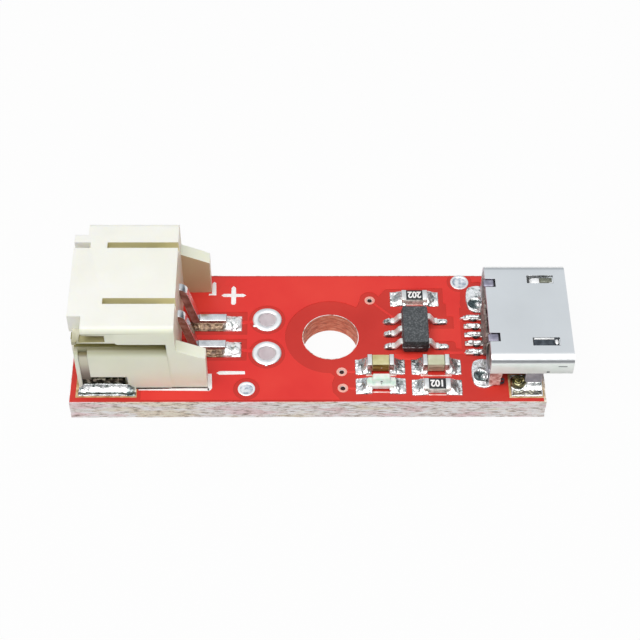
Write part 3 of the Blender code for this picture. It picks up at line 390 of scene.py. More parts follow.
core = block("laminate_core", (0.0, 0.0, -1.565), (28.04, 9.65, -0.03))
planes = [(at(i * 0.22, 0), (1, 0, 0)) for i in range(1, 128)]
planes += [(at(0, i * 0.24), (0, 1, 0)) for i in range(1, 40)]
planes += [(at(0, 0, i * 0.1535 - 1.565), (0, 0, 1)) for i in range(1, 10)]
edit(core, *((bpy.ops.mesh.bisect, {"plane_co": spot, "plane_no": way}) for spot, way in planes))
low, high = at(0.0, 0.0), at(28.04, 9.65)
on_edge = 1e-7
for corner in core.data.vertices:
    spot = corner.co
    streak = abs(noise.noise(Vector((spot.x * 600, spot.y * 600, spot.z * 5200))))
    chip = abs(noise.noise(Vector((spot.x * 1500 + 7, spot.y * 1500, spot.z * 900))))
    ragged = (0.03 * streak + 0.035 * chip) * MM
    if spot.y - low.y < on_edge:
        spot.y += ragged
    elif high.y - spot.y < on_edge:
        spot.y -= ragged
    if spot.x - low.x < on_edge:
        spot.x += ragged
    elif high.x - spot.x < on_edge:
        tooth = noise.noise(Vector((3.1, spot.y * 520, spot.z * 500)))
        spot.x += (0.07 + 0.09 * tooth) * MM - ragged
cut(core, drill(HOLES, -3, 3))
dress(core, "board_laminate", laminate_edge, drilled_wall, replaces="circuit_board")
paint(core, 1, lambda x, y, z, way: math.hypot(x - mount_x, y - mount_y) < mount_size / 2 + 0.005)


# Red solder mask and the copper under it. The lacquer lies lower and darker on bare
# laminate, and higher and brighter where copper is left under it, so the copper's outline
# shows as a soft step of a few hundredths of a millimetre.
def lacquer(name, stops, roughness=0.36):
    """Photo-imaged epoxy lacquer: glossy and even, with a faint cloudiness and orange peel."""
    material, tree, shader, coords = new_material(name, roughness, specular=0.35)
    cloud = add_node(tree, "TexNoise", {"Vector": coords, "Scale": 240.0, "Detail": 3.0})
    tint = add_node(tree, "ValToRGB", {"Fac": cloud}, stops=stops)
    peel = add_node(tree, "TexNoise", {"Vector": coords, "Scale": 4200.0, "Detail": 2.0})
    coat(tree, shader, tint.outputs["Color"], peel, 0.12, 0.00001)
    return material


mask_bare = lacquer("red_lacquer_on_laminate", ("#C42D24", "#CB3229", "#D2372C"))
mask_copper = lacquer("red_lacquer_on_copper", ("#DE2F2B", "#E43831", "#E84036"))

for side, low, high in (("top", -0.045, -0.022), ("bottom", -1.578, -1.555)):
    sheet = block(f"lacquer_{side}", (0.04, 0.04, low), (27.94, 9.61, high))
    cut(sheet, drill([(x, y, size + 0.08) for x, y, size in HOLES], -3, 3))
    make(sheet, 0.008, "board_laminate", mask_bare)

BARE = [
    [(17.0, 7.05), (17.35, 7.9), (18.4, 7.95), (18.84, 8.53), (22.39, 8.61), (22.39, 7.41), (22.54, 7.38),
     (22.54, 6.38), (22.95, 6.36), (22.95, 5.43), (20.4, 5.43), (20.4, 4.49), (22.81, 4.49), (22.97, 4.36),
     (23.0, 3.95), (23.32, 3.9), (23.34, 7.05), (28.2, 7.05), (28.2, -0.2), (16.05, -0.2), (15.85, 0.3),
     (15.52, 0.7), (15.47, 1.35), (15.62, 1.87), (15.2, 2.3), (15.6, 4.8)],
    [(6.3, 4.98), (6.3, 6.74), (10.38, 6.74), (10.38, 4.98)],
    [(6.3, 3.04), (6.3, 4.66), (10.38, 4.66), (10.38, 3.04)],
    [(-0.2, 0.12), (-0.2, 2.5), (4.2, 2.5), (4.2, 0.12)],
    [(-0.2, 7.1), (-0.2, 9.5), (4.2, 9.5), (4.2, 7.1)],
]
CLEAR = [(mount_x, mount_y, 5.5), (plated_x, 6.13, 2.22), (plated_x, 3.555, 2.22), (10.41, 0.95, 1.58),
         (23.47, 9.08, 1.56), (17.84, 7.70, 1.2), (24.55, 8.0, 2.2), (24.35, 7.4, 1.9)]
CLEAR_UNDER = [(mount_x, mount_y, 5.5), (plated_x, 6.095, 2.3), (plated_x, 3.555, 2.3)]
CLEAR_UNDER += [(x, y, 0.34) for x, y, size in VIAS]
pour = block("copper_relief_top", (0.18, 0.16, -0.03), (27.8, 9.49, 0.0))
for i, points in enumerate(BARE):
    cut(pour, prism(f"bare_{i}", points, -1, 1))
for place in CLEAR:
    cut(pour, drill([place], -1, 1))
make(pour, 0.014, "board_laminate", mask_copper)

make(
    block("copper_relief_patch", (19.15, 3.08, -0.03), (20.95, 3.52, 0.0)), 0.014,
    "board_laminate", mask_copper,
)

TRACES = [((18.1, 7.41), (19.3, 6.28), 0.13), ((16.4, 2.2), (16.95, 2.18), 0.16),
          ((16.45, 1.0), (17.0, 0.98), 0.16), ((9.9, 5.88), (10.9, 6.02), 0.24),
          ((9.9, 3.86), (10.9, 3.74), 0.24), ((22.3, 3.62), (23.6, 3.62), 0.18)]
for i, (a, b, width) in enumerate(TRACES, start=1):
    a, b = Vector(a), Vector(b)
    along = (b - a).normalized() * width / 2
    across = Vector((-along.y, along.x))
    corners = [a - along - across, b + along - across, b + along + across, a - along + across]
    make(
        prism(f"copper_track_{i}", [tuple(corner) for corner in corners], -0.03, -0.004), 0.012,
        "board_laminate", mask_copper,
    )

pour = block("copper_relief_bottom", (0.18, 0.16, -1.6), (27.8, 9.49, -1.57))
for place in CLEAR_UNDER:
    cut(pour, drill([place], -3, 1))
make(pour, 0.014, "board_laminate", mask_copper)


# Vias. Small drilled holes plated with copper. Each has a thin ring, and the lacquer is so
# thin on the ring's edge that it shines through in salmon. Each hole holds a nearly black
# lacquer plug: painted shade for the hole's depth.
def hoop(name, spot, radius, half_width, flat, count):
    """A flattened ring round a place, with its sizes in mm and its count of segments."""
    bpy.ops.mesh.primitive_torus_add(
        location=at(*spot), major_radius=radius * MM, minor_radius=half_width * MM,
        major_segments=count[0], minor_segments=count[1],
    )
    piece = start(name)
    settle(piece, (1, 1, flat))
    bpy.ops.object.shade_smooth()
    return piece


salmon = lacquer("red_lacquer_on_via", ("#EE9788", "#F8B9AB"), 0.3)
# Painted shade: the nearly black plug stands in for the dark inside of each hole.
via_hole_shade = lacquer("painted_shade_in_via", ("#1E0A08", "#34100C"), 0.6)
for i, (x, y, size) in enumerate(VIAS, start=1):
    make(rod(f"via_shade_plug_{i}", x, y, -1.51, -0.07, size - 0.01, 32), 0.01, "board_laminate", via_hole_shade)
    ring = hoop(f"via_ring_{i}", (x, y, -0.016), 0.245, 0.075, 0.6, (48, 14))
    dress(ring, "board_laminate", salmon)


# Printed marks. White epoxy ink, screened on the lacquer a hundredth of a millimetre thick:
# the two polarity marks and the corners of the socket's outline.
ink = mottled("white_epoxy_ink", [(0.3, "#F7F1EF"), (0.6, "#FFFFFF")], 0.45, 1800.0, 3.0, (0.2, 0.00001))

# Below each part lies a thin pale pink line, pink in its low tones and nearly white in its high ones.
pale_pink_line_finish = mottled(
    "pale_pink_line_below_parts", [(0.35, "#E58A80"), (0.5, "#F2C4BA"), (0.62, "#FBEDE8")], 0.45, 2600.0, 3.0,
)
PRINTS = {
    "plus": [(8.73, 8.04), (8.88, 7.92), (9.34, 7.92), (9.34, 7.42), (9.4, 7.31), (9.56, 7.31),
             (9.64, 7.42), (9.64, 7.92), (10.1, 7.92), (10.26, 8.04), (10.1, 8.16), (9.63, 8.16),
             (9.62, 8.62), (9.47, 8.79), (9.34, 8.62), (9.34, 8.16), (8.88, 8.16)],
    "minus_bar": [(8.60, 2.12), (8.78, 2.26), (10.29, 2.25), (10.31, 2.02), (8.78, 1.99)],
    "far_corner": [(8.14, 8.97), (8.24, 9.12), (8.38, 9.04), (8.42, 8.05), (7.94, 8.05), (7.97, 8.16),
                   (8.14, 8.18)],
    "near_corner": [(8.1, 2.06), (8.33, 2.06), (8.38, 1.02), (8.3, 0.87), (8.15, 0.81), (8.1, 0.92)],
    "near_line": [(4.05, 0.93), (4.05, 0.86), (8.2, 0.81), (8.22, 1.0), (6.0, 1.0), (5.8, 0.96)],
}
for name, points in PRINTS.items():
    make(prism(f"print_{name}", points, -0.01, 0.011), 0.008, "board_laminate", ink)
LINES = {
    "current_resistor": (19.62, 21.5, 7.3), "output_capacitor": (17.5, 19.3, 1.93),
    "input_capacitor": (20.75, 22.6, 1.92), "status_light": (17.6, 19.15, 0.72),
    "light_resistor": (20.75, 22.5, 0.53),
}
for name, (left, right, y) in LINES.items():
    points = [(left, y - 0.04), (right, y - 0.05), (right, y + 0.03), (left, y + 0.04)]
    make(prism(f"pale_pink_line_{name}", points, -0.03, -0.008), 0.006, "board_laminate", pale_pink_line_finish)


# Battery socket housing. Ivory nylon, injection moulded in one shot, open at the board's
# end: a slotted roof, a flank with a rounded bar below an ear slot, and two rear wings.
def solid_copy(node, name):
    """Copy a solid and merge its loose triangles into whole faces."""
    piece = bpy.data.objects.new(name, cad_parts[node].data.copy())
    piece.data.name = name
    bpy.context.scene.collection.objects.link(piece)
    edit(
        piece,
        (bpy.ops.mesh.customdata_custom_splitnormals_clear, {}),
        (bpy.ops.mesh.remove_doubles, {"threshold": 2e-6}),
        (bpy.ops.mesh.dissolve_limited, {"angle_limit": math.radians(0.6)}),
        OUTWARDS,
    )
    return piece


def nudge(piece, low, high, offset):
    """Move the points of a piece that lie between two places by an offset in mm."""
    a, b = at(*low), at(*high)
    pick(piece)
    bpy.ops.object.mode_set(mode="EDIT")
    bpy.ops.mesh.select_mode(type="VERT")
    bpy.ops.mesh.select_all(action="DESELECT")
    bpy.ops.object.mode_set(mode="OBJECT")
    for corner in piece.data.vertices:
        corner.select = all(a[i] < corner.co[i] < b[i] for i in range(3))
    bpy.ops.object.mode_set(mode="EDIT")
    bpy.ops.transform.translate(value=[part * MM for part in offset])
    bpy.ops.object.mode_set(mode="OBJECT")


def held(value):
    """A value held between 0 and 1."""
    return min(1.0, max(0.0, value))


# Moulded nylon, satin, with a soft light inside it. In a narrow slot the light goes from
# wall to wall and turns olive, and copies of the nylon paint that shade in: olive in the
# trench, the slots, the window and beside it, and browner inside the wings, where a reflection
# of the red board is painted in too. A paler, greener copy on the flanks and rear faces is
# painted light. Where the housing's shade attribute rises, on the bars and by the windows,
# the nylon turns olive too: painted shade.
def nylon(name, low, high, inner):
    """Natural nylon from a polished mould, its skin waved by less than a hundredth of a mm."""
    material, tree, shader, coords = new_material(name, 0.4)
    cloud = add_node(tree, "TexNoise", {"Vector": coords, "Scale": 300.0, "Detail": 4.0})
    tint = add_node(tree, "ValToRGB", {"Fac": cloud}, stops=(low, high))
    painted_bar_shade = add_node(tree, "Attribute", attribute_name="painted_bar_shade")
    turned = add_node(
        tree, "Mix", {0: painted_bar_shade.outputs["Fac"], 6: tint, 7: linear("#8C885A")}, data_type="RGBA",
    )
    shader.inputs["Subsurface Weight"].default_value = inner
    shader.inputs["Subsurface Radius"].default_value = (0.0009, 0.0008, 0.0005)
    shader.inputs["Subsurface Scale"].default_value = 0.4
    skin = add_node(tree, "TexNoise", {"Vector": coords, "Scale": 2400.0, "Detail": 3.0})
    coat(tree, shader, turned.outputs[2], skin, 0.12, 0.00002)
    return material


# Every copy after the first paints light or shade into the nylon's colour.
BODY, TRENCH_SHADE, WING_SHADE, SLOT_SHADE, LIT_FLANK, WINDOW_SHADE, POST_SHADE = range(7)
nylons = [
    nylon("moulded_ivory_nylon", "#F2F2E7", "#F8F8F1", 0.3),
    nylon("ivory_nylon_painted_shade_in_a_trench", "#857F42", "#A39D60", 0.0),
    nylon("ivory_nylon_painted_shade_and_red_reflection_in_wings", "#C4AE88", "#CFBC98", 0.0),
    nylon("ivory_nylon_painted_shade_in_a_slot", "#E0D8A2", "#EEE6B8", 0.0),
    nylon("ivory_nylon_painted_light_on_flanks", "#F3F7E0", "#FAFDEA", 0.3),
    nylon("ivory_nylon_painted_shade_in_a_window", "#B4AC80", "#C8C296", 0.0),
    nylon("ivory_nylon_painted_shade_by_a_window", "#CCCAB4", "#DAD8C4", 0.0),
]
housing = solid_copy("battery_socket_housing", "socket_housing")
nudge(housing, (7.9, 0, -1), (8.2, 10, 2.95), (0.08, 0, 0))
socket_y, flank = 5.07, 4.03
quarter = [math.radians(angle) for angle in range(0, 91, 10)]
bar_top = [(-0.46 + 0.46 * math.cos(a), 2.97 + 0.46 * math.sin(a)) for a in quarter]
bar_top += [(-0.46, 3.5), (0.1, 3.5), (0.1, 2.97)]
roof_edge = [(-0.36 + 0.36 * math.cos(a), 5.24 + 0.36 * math.sin(a)) for a in quarter]
roof_edge += [(-0.36, 5.8), (0.1, 5.8), (0.1, 5.24)]
tab_corner = [(2.9, 4.1)] + [(3.24 - 0.26 * math.sin(a), 4.46 - 0.26 * math.cos(a)) for a in quarter]
tab_corner += [(2.9, 4.46)]

# Both flanks are cut alike. Each block's row gives how deep it cuts, its lower left corner
# and its upper right one.
for side in (-1, 1):
    face = socket_y + side * flank
    for outline, low, high in ((bar_top, 0.0, 5.91), (roof_edge, -0.2, 7.0)):
        points = [(face + side * step, z) for step, z in outline]
        cut(housing, prism("flank_tool", points, low, high, axis="x"))
    for depth, (left, below), (right, above) in (
        (0.31, (0.79, -0.2), (1.33, 3.5)),
        (0.31, (1.0, -0.2), (3.46, 1.08)),
        (0.03, (6.02, -0.2), (8.4, 2.93)),
        (0.9, (0.9, 4.87), (1.17, 4.97)),
    ):
        y0, y1 = sorted((face - side * depth, face + side * 0.2))
        cut(housing, block("flank_tool", (left, y0, below), (right, y1, above)))
    y0, y1 = sorted((face - side * 0.1, face + side * 0.2))
    cut(housing, prism("corner_tool", tab_corner, y0, y1, axis="y"))
ease(housing, 0.06, 3, 32)
dress(housing, "housing_nylon", *nylons, replaces="battery_socket_housing")


def aside(y):
    """How far a place lies from the housing's middle."""
    return abs(y - socket_y)


# Painted light and shade: the flanks and rear faces take the paler copy, and the trench, the bay behind the
# bar, the wings' inner faces, the slots, the post and the window take the darker ones.
paint(housing, LIT_FLANK, lambda x, y, z, way: abs(way.y) > 0.7 and aside(y) > 3.6 or way.x > 0.25 and x > 5.9)
paint(housing, TRENCH_SHADE, lambda x, y, z, way: 3.0 < x < 5.95 and 2.4 < z < 4.22 and 1.4 < aside(y) < 3.58
      or x < 3.6 and z < 1.1 and 3.6 < aside(y) < 3.9)
paint(housing, WING_SHADE, lambda x, y, z, way: x > 6.6 and abs(aside(y) - 3.21) < 0.02 and abs(way.y) > 0.9)
paint(housing, SLOT_SHADE, lambda x, y, z, way: x > 2.0 and 4.86 < z < 5.5
      and any(abs(y - socket_y - place) < 0.24 for place in (-1.94, 2.26)))
paint(housing, SLOT_SHADE, lambda x, y, z, way: x < 3.0 and 3.4 < z < 4.22 and 1.4 < aside(y) < 3.7)
paint(housing, POST_SHADE, lambda x, y, z, way: 0.5 < x < 1.3 and 4.3 < z < 5.25 and aside(y) > 3.5)
paint(housing, WINDOW_SHADE, lambda x, y, z, way: 1.1 < x < 2.47 and 4.3 < z < 4.92 and 3.4 < aside(y) < 3.9)
# Painted shade: a point attribute turns the nylon olive high on the bars, more towards the back, and a little
# by the windows.
marks = []
for corner in housing.data.vertices:
    x, y, z = on_board(corner.co)
    rise = held((z - 2.9) / 0.5) ** 1.3
    on_bar = x < 5.95 and aside(y) > 3.5 and z < 3.46
    by_window = x < 1.25 and aside(y) > 3.5 and 3.5 < z < 5.22
    marks.append(rise * min(1.0, 0.6 + x * 0.15) if on_bar else 0.62 * by_window)
layer = housing.data.attributes.new("painted_bar_shade", "FLOAT", "POINT")
layer.data.foreach_set("value", marks)

# Under the housing's near edge a thin dark strip lies on the board: a painted contact shadow.
painted_contact_shadow = mottled("painted_contact_shadow", [(0.35, "#1C100E"), (0.65, "#4E2A26")], 0.5, 2600.0, 3.0)
points = [(3.55, 0.98), (4.4, 0.93), (6.0, 0.98), (8.14, 1.01), (8.14, 1.12), (3.55, 1.12)]
make(prism("contact_shadow_strip", points, -0.012, 0.014), 0.01, "board_laminate", painted_contact_shadow)


# Battery contacts. Square brass wire, tinned, bent down behind the housing to lie on its
# pads. The skin is bright with soft ripples, and the near faces of the sloping part and foot
# are painted pinkish brown and duller: a painted reflection of the red board, with painted shade.
def plated(name, stops, roughness, scale, strength, metallic=1.0):
    """Plated metal, faintly mottled and rippled. The less it is metallic, the duller its skin."""
    return mottled(name, stops, roughness, scale, 4.0, (strength, 0.00003), metallic)


def bent(name, path, thick, y, width, bend):
    """A strip bent along a path of x and z in mm, lying across y."""
    points = [Vector(place) for place in path]
    line = [points[0]]
    for before, corner, after in zip(points, points[1:], points[2:]):
        a, b = (before - corner).normalized(), (after - corner).normalized()
        for i in range(9):
            t = i / 8
            line.append(corner + a * bend * (1 - t) ** 2 + b * bend * t ** 2)
    line.append(points[-1])
    upper, lower = [], []
    for i, spot in enumerate(line):
        along = (line[min(i + 1, len(line) - 1)] - line[max(i - 1, 0)]).normalized()
        across = Vector((-along.y, along.x)) * thick / 2
        upper.append(tuple(spot + across))
        lower.append(tuple(spot - across))
    return prism(name, upper + lower[::-1], y - width / 2, y + width / 2, axis="y")


pin_tin = plated("tinned_square_brass", ("#C9CACC", "#E6E7E8", "#F6F6F6"), 0.24, 1500.0, 0.3)
pin_red_reflection = plated("tin_with_painted_red_reflection", ("#966A5E", "#B8887C", "#D6B4A8"), 0.5, 2600.0, 0.5, 0.6)
for end, y in (("far", 5.95), ("near", 3.96)):
    pin = make(
        bent(f"socket_pin_{end}", [(2.0, 3.2), (6.6, 3.2), (7.3, 0.24), (9.13, 0.24)], 0.5, y, 0.54, 0.3),
        0.045, "tinned_copper", pin_tin, pin_red_reflection, segments=3, replaces=f"battery_contact_{end}",
    )
    # Painted reflection and shade: the near faces beyond the bend take the pinkish brown copy.
    paint(pin, 1, lambda x, y, z, way: way.y < -0.8 and x > 6.2)


# Anchor plates. Stamped brass, tinned: a narrow strip pushed up into the flank and a bar
# that lies on its pad. The strip is painted darker low and high and pale between: painted
# shade in its bay. The bar, under the housing, is painted nearly black and speckled: painted shade.
# Painted shade: the strip's colour follows its height in the bay.
anchor_strip_shade, tree, shader, coords = new_material("tin_strip_with_painted_shade", 0.5, 0.3)
height = add_node(tree, "SeparateXYZ", {"Vector": coords})
low, high = at(0, 0, 0.8).z, at(0, 0, 3.2).z
climbed = add_node(tree, "MapRange", {"Value": height.outputs["Z"], "From Min": low, "From Max": high})
tint = add_node(
    tree, "ValToRGB", {"Fac": climbed},
    stops=[(0.0, "#6C665A"), (0.25, "#8E867C"), (0.42, "#B0A99C"), (0.62, "#CFCDB8"), (0.88, "#D8D6C2"),
           (1.0, "#8A8262")],
)
tree.links.new(tint.outputs["Color"], shader.inputs["Base Color"])
# Painted shade on the bar under the housing.
tin_bar_in_painted_shade = plated("tin_bar_in_painted_shade", [(0.36, "#15140E"), (0.5, "#4A4738"), (0.64, "#B9B7A6")], 0.35, 5200.0, 0.8)
for end in ("near", "far"):
    plate = solid_copy(f"anchor_plate_{end}", f"socket_anchor_{end}")
    edit(plate, (bpy.ops.mesh.bisect, {"plane_co": at(0, 0, 0.8), "plane_no": (0, 0, 1)}))
    make(plate, 0.03, "tinned_copper", anchor_strip_shade, tin_bar_in_painted_shade, replaces=f"anchor_plate_{end}")
    paint(plate, 1, lambda x, y, z, way: z < 0.83)


# Solder. Tin alloy, melted under each foot and frozen there: it covers the pad with a
# rolled edge and climbs the metal in a hollow curve, lumpy and mirror bright. Where a joint
# lies in shade, beside or under a foot, a leg or a part, or in a pit, a point attribute mixes
# its colour towards grey, olive or brown: painted shade, with some rosin and oxide, and under
# the battery pins a painted reflection of the red board. Each grain is about a tenth of a
# millimetre.
def frozen_tin(name, shade_and_rosin_colours, metallic=0.86):
    """Frozen tin, mirror bright on its rolls, mixed towards darker colours by painted shade and rosin."""
    material, tree, shader, coords = new_material(name, 0.26, metallic)
    grains = add_node(tree, "TexNoise", {"Vector": coords, "Scale": 3400.0, "Detail": 6.0, "Roughness": 0.72})
    bright = add_node(
        tree, "ValToRGB", {"Fac": grains},
        stops=[(0.3, "#3A3D3C"), (0.38, "#8F9896"), (0.44, "#DCE0DD"), (0.5, "#FFFFFF")],
    )
    left = add_node(tree, "ValToRGB", {"Fac": grains}, stops=list(zip((0.34, 0.46, 0.56, 0.68), shade_and_rosin_colours)))
    shade_and_rosin = add_node(tree, "Attribute", attribute_name="shade_and_rosin")
    skin = add_node(tree, "Mix", {0: shade_and_rosin.outputs["Fac"], 6: bright, 7: left}, data_type="RGBA")
    ripple = add_node(tree, "TexNoise", {"Vector": coords, "Scale": 3200.0, "Detail": 4.0, "Roughness": 0.6})
    coat(tree, shader, skin.outputs[2], ripple, 0.6, 0.00005)
    return material


solder_grey = frozen_tin("tin_solder_with_grey_oxide_and_painted_shade", ("#0E1416", "#38474A", "#6E7C7C", "#C4CFCC"))
solder_olive = frozen_tin("tin_solder_with_olive_rosin_and_painted_shade", ("#14140A", "#4A4726", "#8A8450", "#DAD7B0"))
solder_brown = frozen_tin("tin_solder_with_brown_rosin_and_painted_shade", ("#3A2A20", "#664E3E", "#8A7058", "#B8A488"), 0.5)


def solder(name, low, high, rounding, lift, painted_shade, count, grain, seed, skin=0.05, finish=solder_grey,
           replaces=""):
    """Solder on a pad from low to high in mm, whose surface stands lift(x, y) above its skin."""
    bpy.ops.mesh.primitive_grid_add(x_subdivisions=count[0], y_subdivisions=count[1], size=2)
    pool = start(name)
    edit(pool, (bpy.ops.mesh.extrude_region_move, {"TRANSFORM_OT_translate": {"value": (0, 0, 1)}}))
    half_x, half_y = (high[0] - low[0]) / 2, (high[1] - low[1]) / 2
    marks = []
    for corner in pool.data.vertices:
        u, v, top = corner.co.x, corner.co.y, corner.co.z > 0.5
        u = math.copysign(math.sin(abs(u) * math.pi / 2) * 0.35 + abs(u) * 0.65, u)
        v = math.copysign(math.sin(abs(v) * math.pi / 2) * 0.35 + abs(v) * 0.65, v)
        x = (low[0] + high[0]) / 2 + half_x * u * math.sqrt(max(0.0, 1 - rounding * v * v / 2))
        y = (low[1] + high[1]) / 2 + half_y * v * math.sqrt(1 - rounding * u * u / 2)
        inside = min((1 - abs(u)) * half_x, (1 - abs(v)) * half_y)
        roll = min(inside / 0.07, 1.0)
        roll = math.sqrt(max(0.0, 1 - (1 - roll) ** 2))
        lump = noise.noise(Vector((x * 2.6 + seed, y * 2.6, seed)))
        lump += 0.6 * noise.noise(Vector((x * 7, y * 7 + seed, 3)))
        height = roll * max(0.015, skin + lift(x, y) + grain * lump)
        corner.co = at(x, y, height if top else -0.012)
        marks.append(held(painted_shade(x, y)))
    layer = pool.data.attributes.new("shade_and_rosin", "FLOAT", "POINT")
    layer.data.foreach_set("value", marks)
    edit(pool, OUTWARDS)
    bpy.ops.object.shade_smooth()
    dress(pool, "solder", finish, replaces=replaces)


def climb(x, y, wall, height, reach):
    """How high solder stands beside a wall, given as its low x, high x, low y and high y."""
    gap = math.hypot(max(wall[0] - x, 0, x - wall[1]), max(wall[2] - y, 0, y - wall[3]))
    return height * max(0.0, 1 - gap / reach) ** 2


def dome(x, y, spot, radius, height):
    """How high a round lump of solder stands."""
    gap = math.hypot(x - spot[0], y - spot[1]) / radius
    return height * math.sqrt(1 - gap * gap) if gap < 1 else 0.0


# Painted shade and a painted reflection of the red board: each pool is darker and browner along and beside
# the pin's foot, on its near side.
for end, pad_y, pin_y in (("far", 5.83, 5.95), ("near", 3.865, 3.96)):
    foot = (7.15, 9.13, pin_y - 0.27, pin_y + 0.27)
    solder(
        f"pin_solder_{end}", (6.9, pad_y - 0.58), (10.06, pad_y + 0.56), 0.05,
        lambda x, y: climb(x, y, foot, 0.2, 0.36) + dome(x, y, (9.62, pad_y + 0.02), 0.5, 0.2)
        + dome(x, y, (9.22, pad_y - 0.38), 0.3, 0.12),
        lambda x, y: 1.3 * held((9.15 - x) / 0.35) * (y < pin_y + 0.2),
        (70, 30), 0.05, pad_y, finish=solder_brown, replaces=f"battery_contact_solder_{end}",
    )

# Painted shade: darker along the bar, in a band near the pool's near edge, and in a strip by the housing's
# corner.
for end, low, high, bar in (("near", 0.43, 1.1, 1.09), ("far", 9.04, 9.25, 9.05)):
    wall = (0.9, 3.45, bar, bar + 0.3) if end == "near" else (0.9, 3.45, bar - 0.3, bar)
    solder(
        f"anchor_solder_pool_{end}", (0.5, low), (3.92, high), 0.05,
        lambda x, y: climb(x, y, wall, 0.4, 0.5) + 0.05 * math.sin(held((x - 0.6) / 2.8) * math.pi),
        lambda x, y: 0.9 * (abs(x - 2.1) < 1.35) * max(0.0, 1 - abs(y - bar) / 0.1)
        + min(0.85, 1.8 * max(0.0, 1 - abs(y - low - 0.15) / 0.14)) + 0.8 * (x > 3.4) * (x < 3.85),
        (80, 26), 0.04, low, replaces=f"anchor_solder_{end}",
    )


# Bare laminate beside four of the pads, where the lacquer's window is wider than the
# copper: plain epoxy over glass, tan and a little glossy.
bare_epoxy = mottled("bare_glass_epoxy", ("#A07A48", "#C2A06C", "#E0CCA4"), 0.45, 3000.0, 3.0)
for name, low, high in (
    ("near", (0.37, 0.36), (3.96, 2.3)), ("far", (0.37, 7.35), (3.96, 9.29)),
    ("port_near", (25.92, 0.29), (27.97, 2.0)), ("port_far", (25.92, 7.65), (27.97, 9.36)),
):
    make(block(f"mask_window_{name}", (*low, -0.03), (*high, -0.006)), 0.008, "board_laminate", bare_epoxy)


# Plated holes and round test pads. Tinned copper: a domed ring round each bore, with the
# small nib that the solder wave left, and two flat round pads with a raised rim.
def bead(name, spot, radius, squash, slot, finish, rings=12):
    """A small round bead, squashed along x, y and z."""
    bpy.ops.mesh.primitive_uv_sphere_add(
        segments=2 * rings, ring_count=rings, radius=radius * MM, location=at(*spot)
    )
    piece = start(name)
    settle(piece, squash)
    bpy.ops.object.shade_smooth()
    dress(piece, slot, finish)


# The rings are bright and nearly white, the bores duller and paler, and the test pads are
# mottled in grey where the tin froze in patches.
pad_tin = plated("tinned_copper_pad", ("#E8EAEC", "#FAFAFB", "#FFFFFF"), 0.34, 1500.0, 0.4, 0.8)
bore_tin = plated("matt_tin_in_a_bore", ("#F3E9EC", "#FFFAFC"), 0.55, 900.0, 0.2, 0.25)
spot_tin = plated(
    "mottled_tin_pad", [(0.36, "#9AA6B6"), (0.48, "#D4DAE2"), (0.6, "#FCFDFE")], 0.34, 3200.0, 0.5, 0.8,
)
for end, y, nib in (("far", 6.13, (10.84, 5.66)), ("near", 3.575, (11.56, 2.72))):
    for level, flat, name in ((0.0, 0.42, "ring"), (-1.545, 0.3, "ring_under")):
        on_top = name == "ring"
        ring = hoop(f"hole_{name}_{end}", (plated_x, y, level), 0.70, 0.19, flat, (80, 20))
        for corner in ring.data.vertices:
            corner.co.z += 0.016 * MM * noise.noise(corner.co * 1600) * on_top
        dress(ring, "tinned_copper", pad_tin, replaces=f"plated_hole_{end}" if on_top else "")
    barrel = rod(f"hole_barrel_{end}", plated_x, y, -1.595, -0.005, 1.2)
    cut(barrel, drill([(plated_x, y, 1.06)], -3, 3))
    make(barrel, 0.03, "tinned_copper", bore_tin)
    bead(f"hole_nib_{end}", nib, 0.14, (1, 0.8, 0.5), "tinned_copper", pad_tin)

for name, x, y, size in (("near", 10.41, 0.95, 1.02), ("far", 23.47, 9.06, 1.12)):
    spot = rod(f"test_pad_{name}", x, y, -0.025, 0.025, size)
    bpy.ops.object.mode_set(mode="EDIT")
    bpy.ops.mesh.select_mode(type="FACE")
    bpy.ops.mesh.select_all(action="DESELECT")
    bpy.ops.object.mode_set(mode="OBJECT")
    for face in spot.data.polygons:
        face.select = face.normal.z > 0.9
    bpy.ops.object.mode_set(mode="EDIT")
    bpy.ops.mesh.inset(thickness=0.12 * MM, depth=0)
    bpy.ops.mesh.inset(thickness=0.04 * MM, depth=-0.02 * MM)
    bpy.ops.object.mode_set(mode="OBJECT")
    ease(spot, 0.014, 2, 25)
    dress(spot, "tinned_copper", pad_tin, spot_tin)
    paint(spot, 1, lambda u, v, z, way: math.hypot(u - x, v - y) < size / 2 - 0.14)


# Charging socket shell. Cold-rolled steel strip, stamped and folded, then plated: smooth
# light grey with round folds, latch windows with bent fingers, and four soldered legs.
shell_steel, tree, shader, coords = new_material("nickel_plated_strip", 0.3, 1.0)
cloud = add_node(tree, "TexNoise", {"Vector": coords, "Scale": 220.0, "Detail": 3.0})
tint = add_node(tree, "ValToRGB", {"Fac": cloud}, stops=("#E0E2E3", "#EAECED"))
brush = add_node(tree, "Mapping", {"Vector": coords, "Scale": (900, 7000, 7000)})
lines = add_node(tree, "TexNoise", {"Vector": brush, "Scale": 1.0, "Detail": 3.0})
coat(tree, shader, tint.outputs["Color"], lines, 0.14, 0.00001)
port_y = 4.86
shell = solid_copy("charging_socket_shell", "port_shell")
for low, high, offset in (
    ((24.6, 0.9, 1.2), (29.7, 1.6, 1.62), (0, 0, -0.2)),
    ((24.6, 8.1, 1.2), (29.7, 8.8, 1.62), (0, 0, -0.2)),
    ((24.6, 2.3, 1.9), (25.5, 3.3, 2.6), (0, 0.08, 0)),
    ((24.6, 6.4, 1.9), (25.5, 7.4, 2.6), (0, 0.08, 0)),
    ((27.1, 2.0, 1.9), (28.9, 2.95, 2.6), (-0.02, 0.07, 0)),
    ((27.1, 6.8, 1.9), (28.9, 7.7, 2.6), (0, 0.03, 0)),
):
    nudge(shell, low, high, offset)
for low, high in ((1.05, 1.6), (8.1, 8.7)):
    cut(shell, block("leg_trim", (25.4, low, -0.2), (25.9, high, 0.84)))
ease(shell, 0.035)

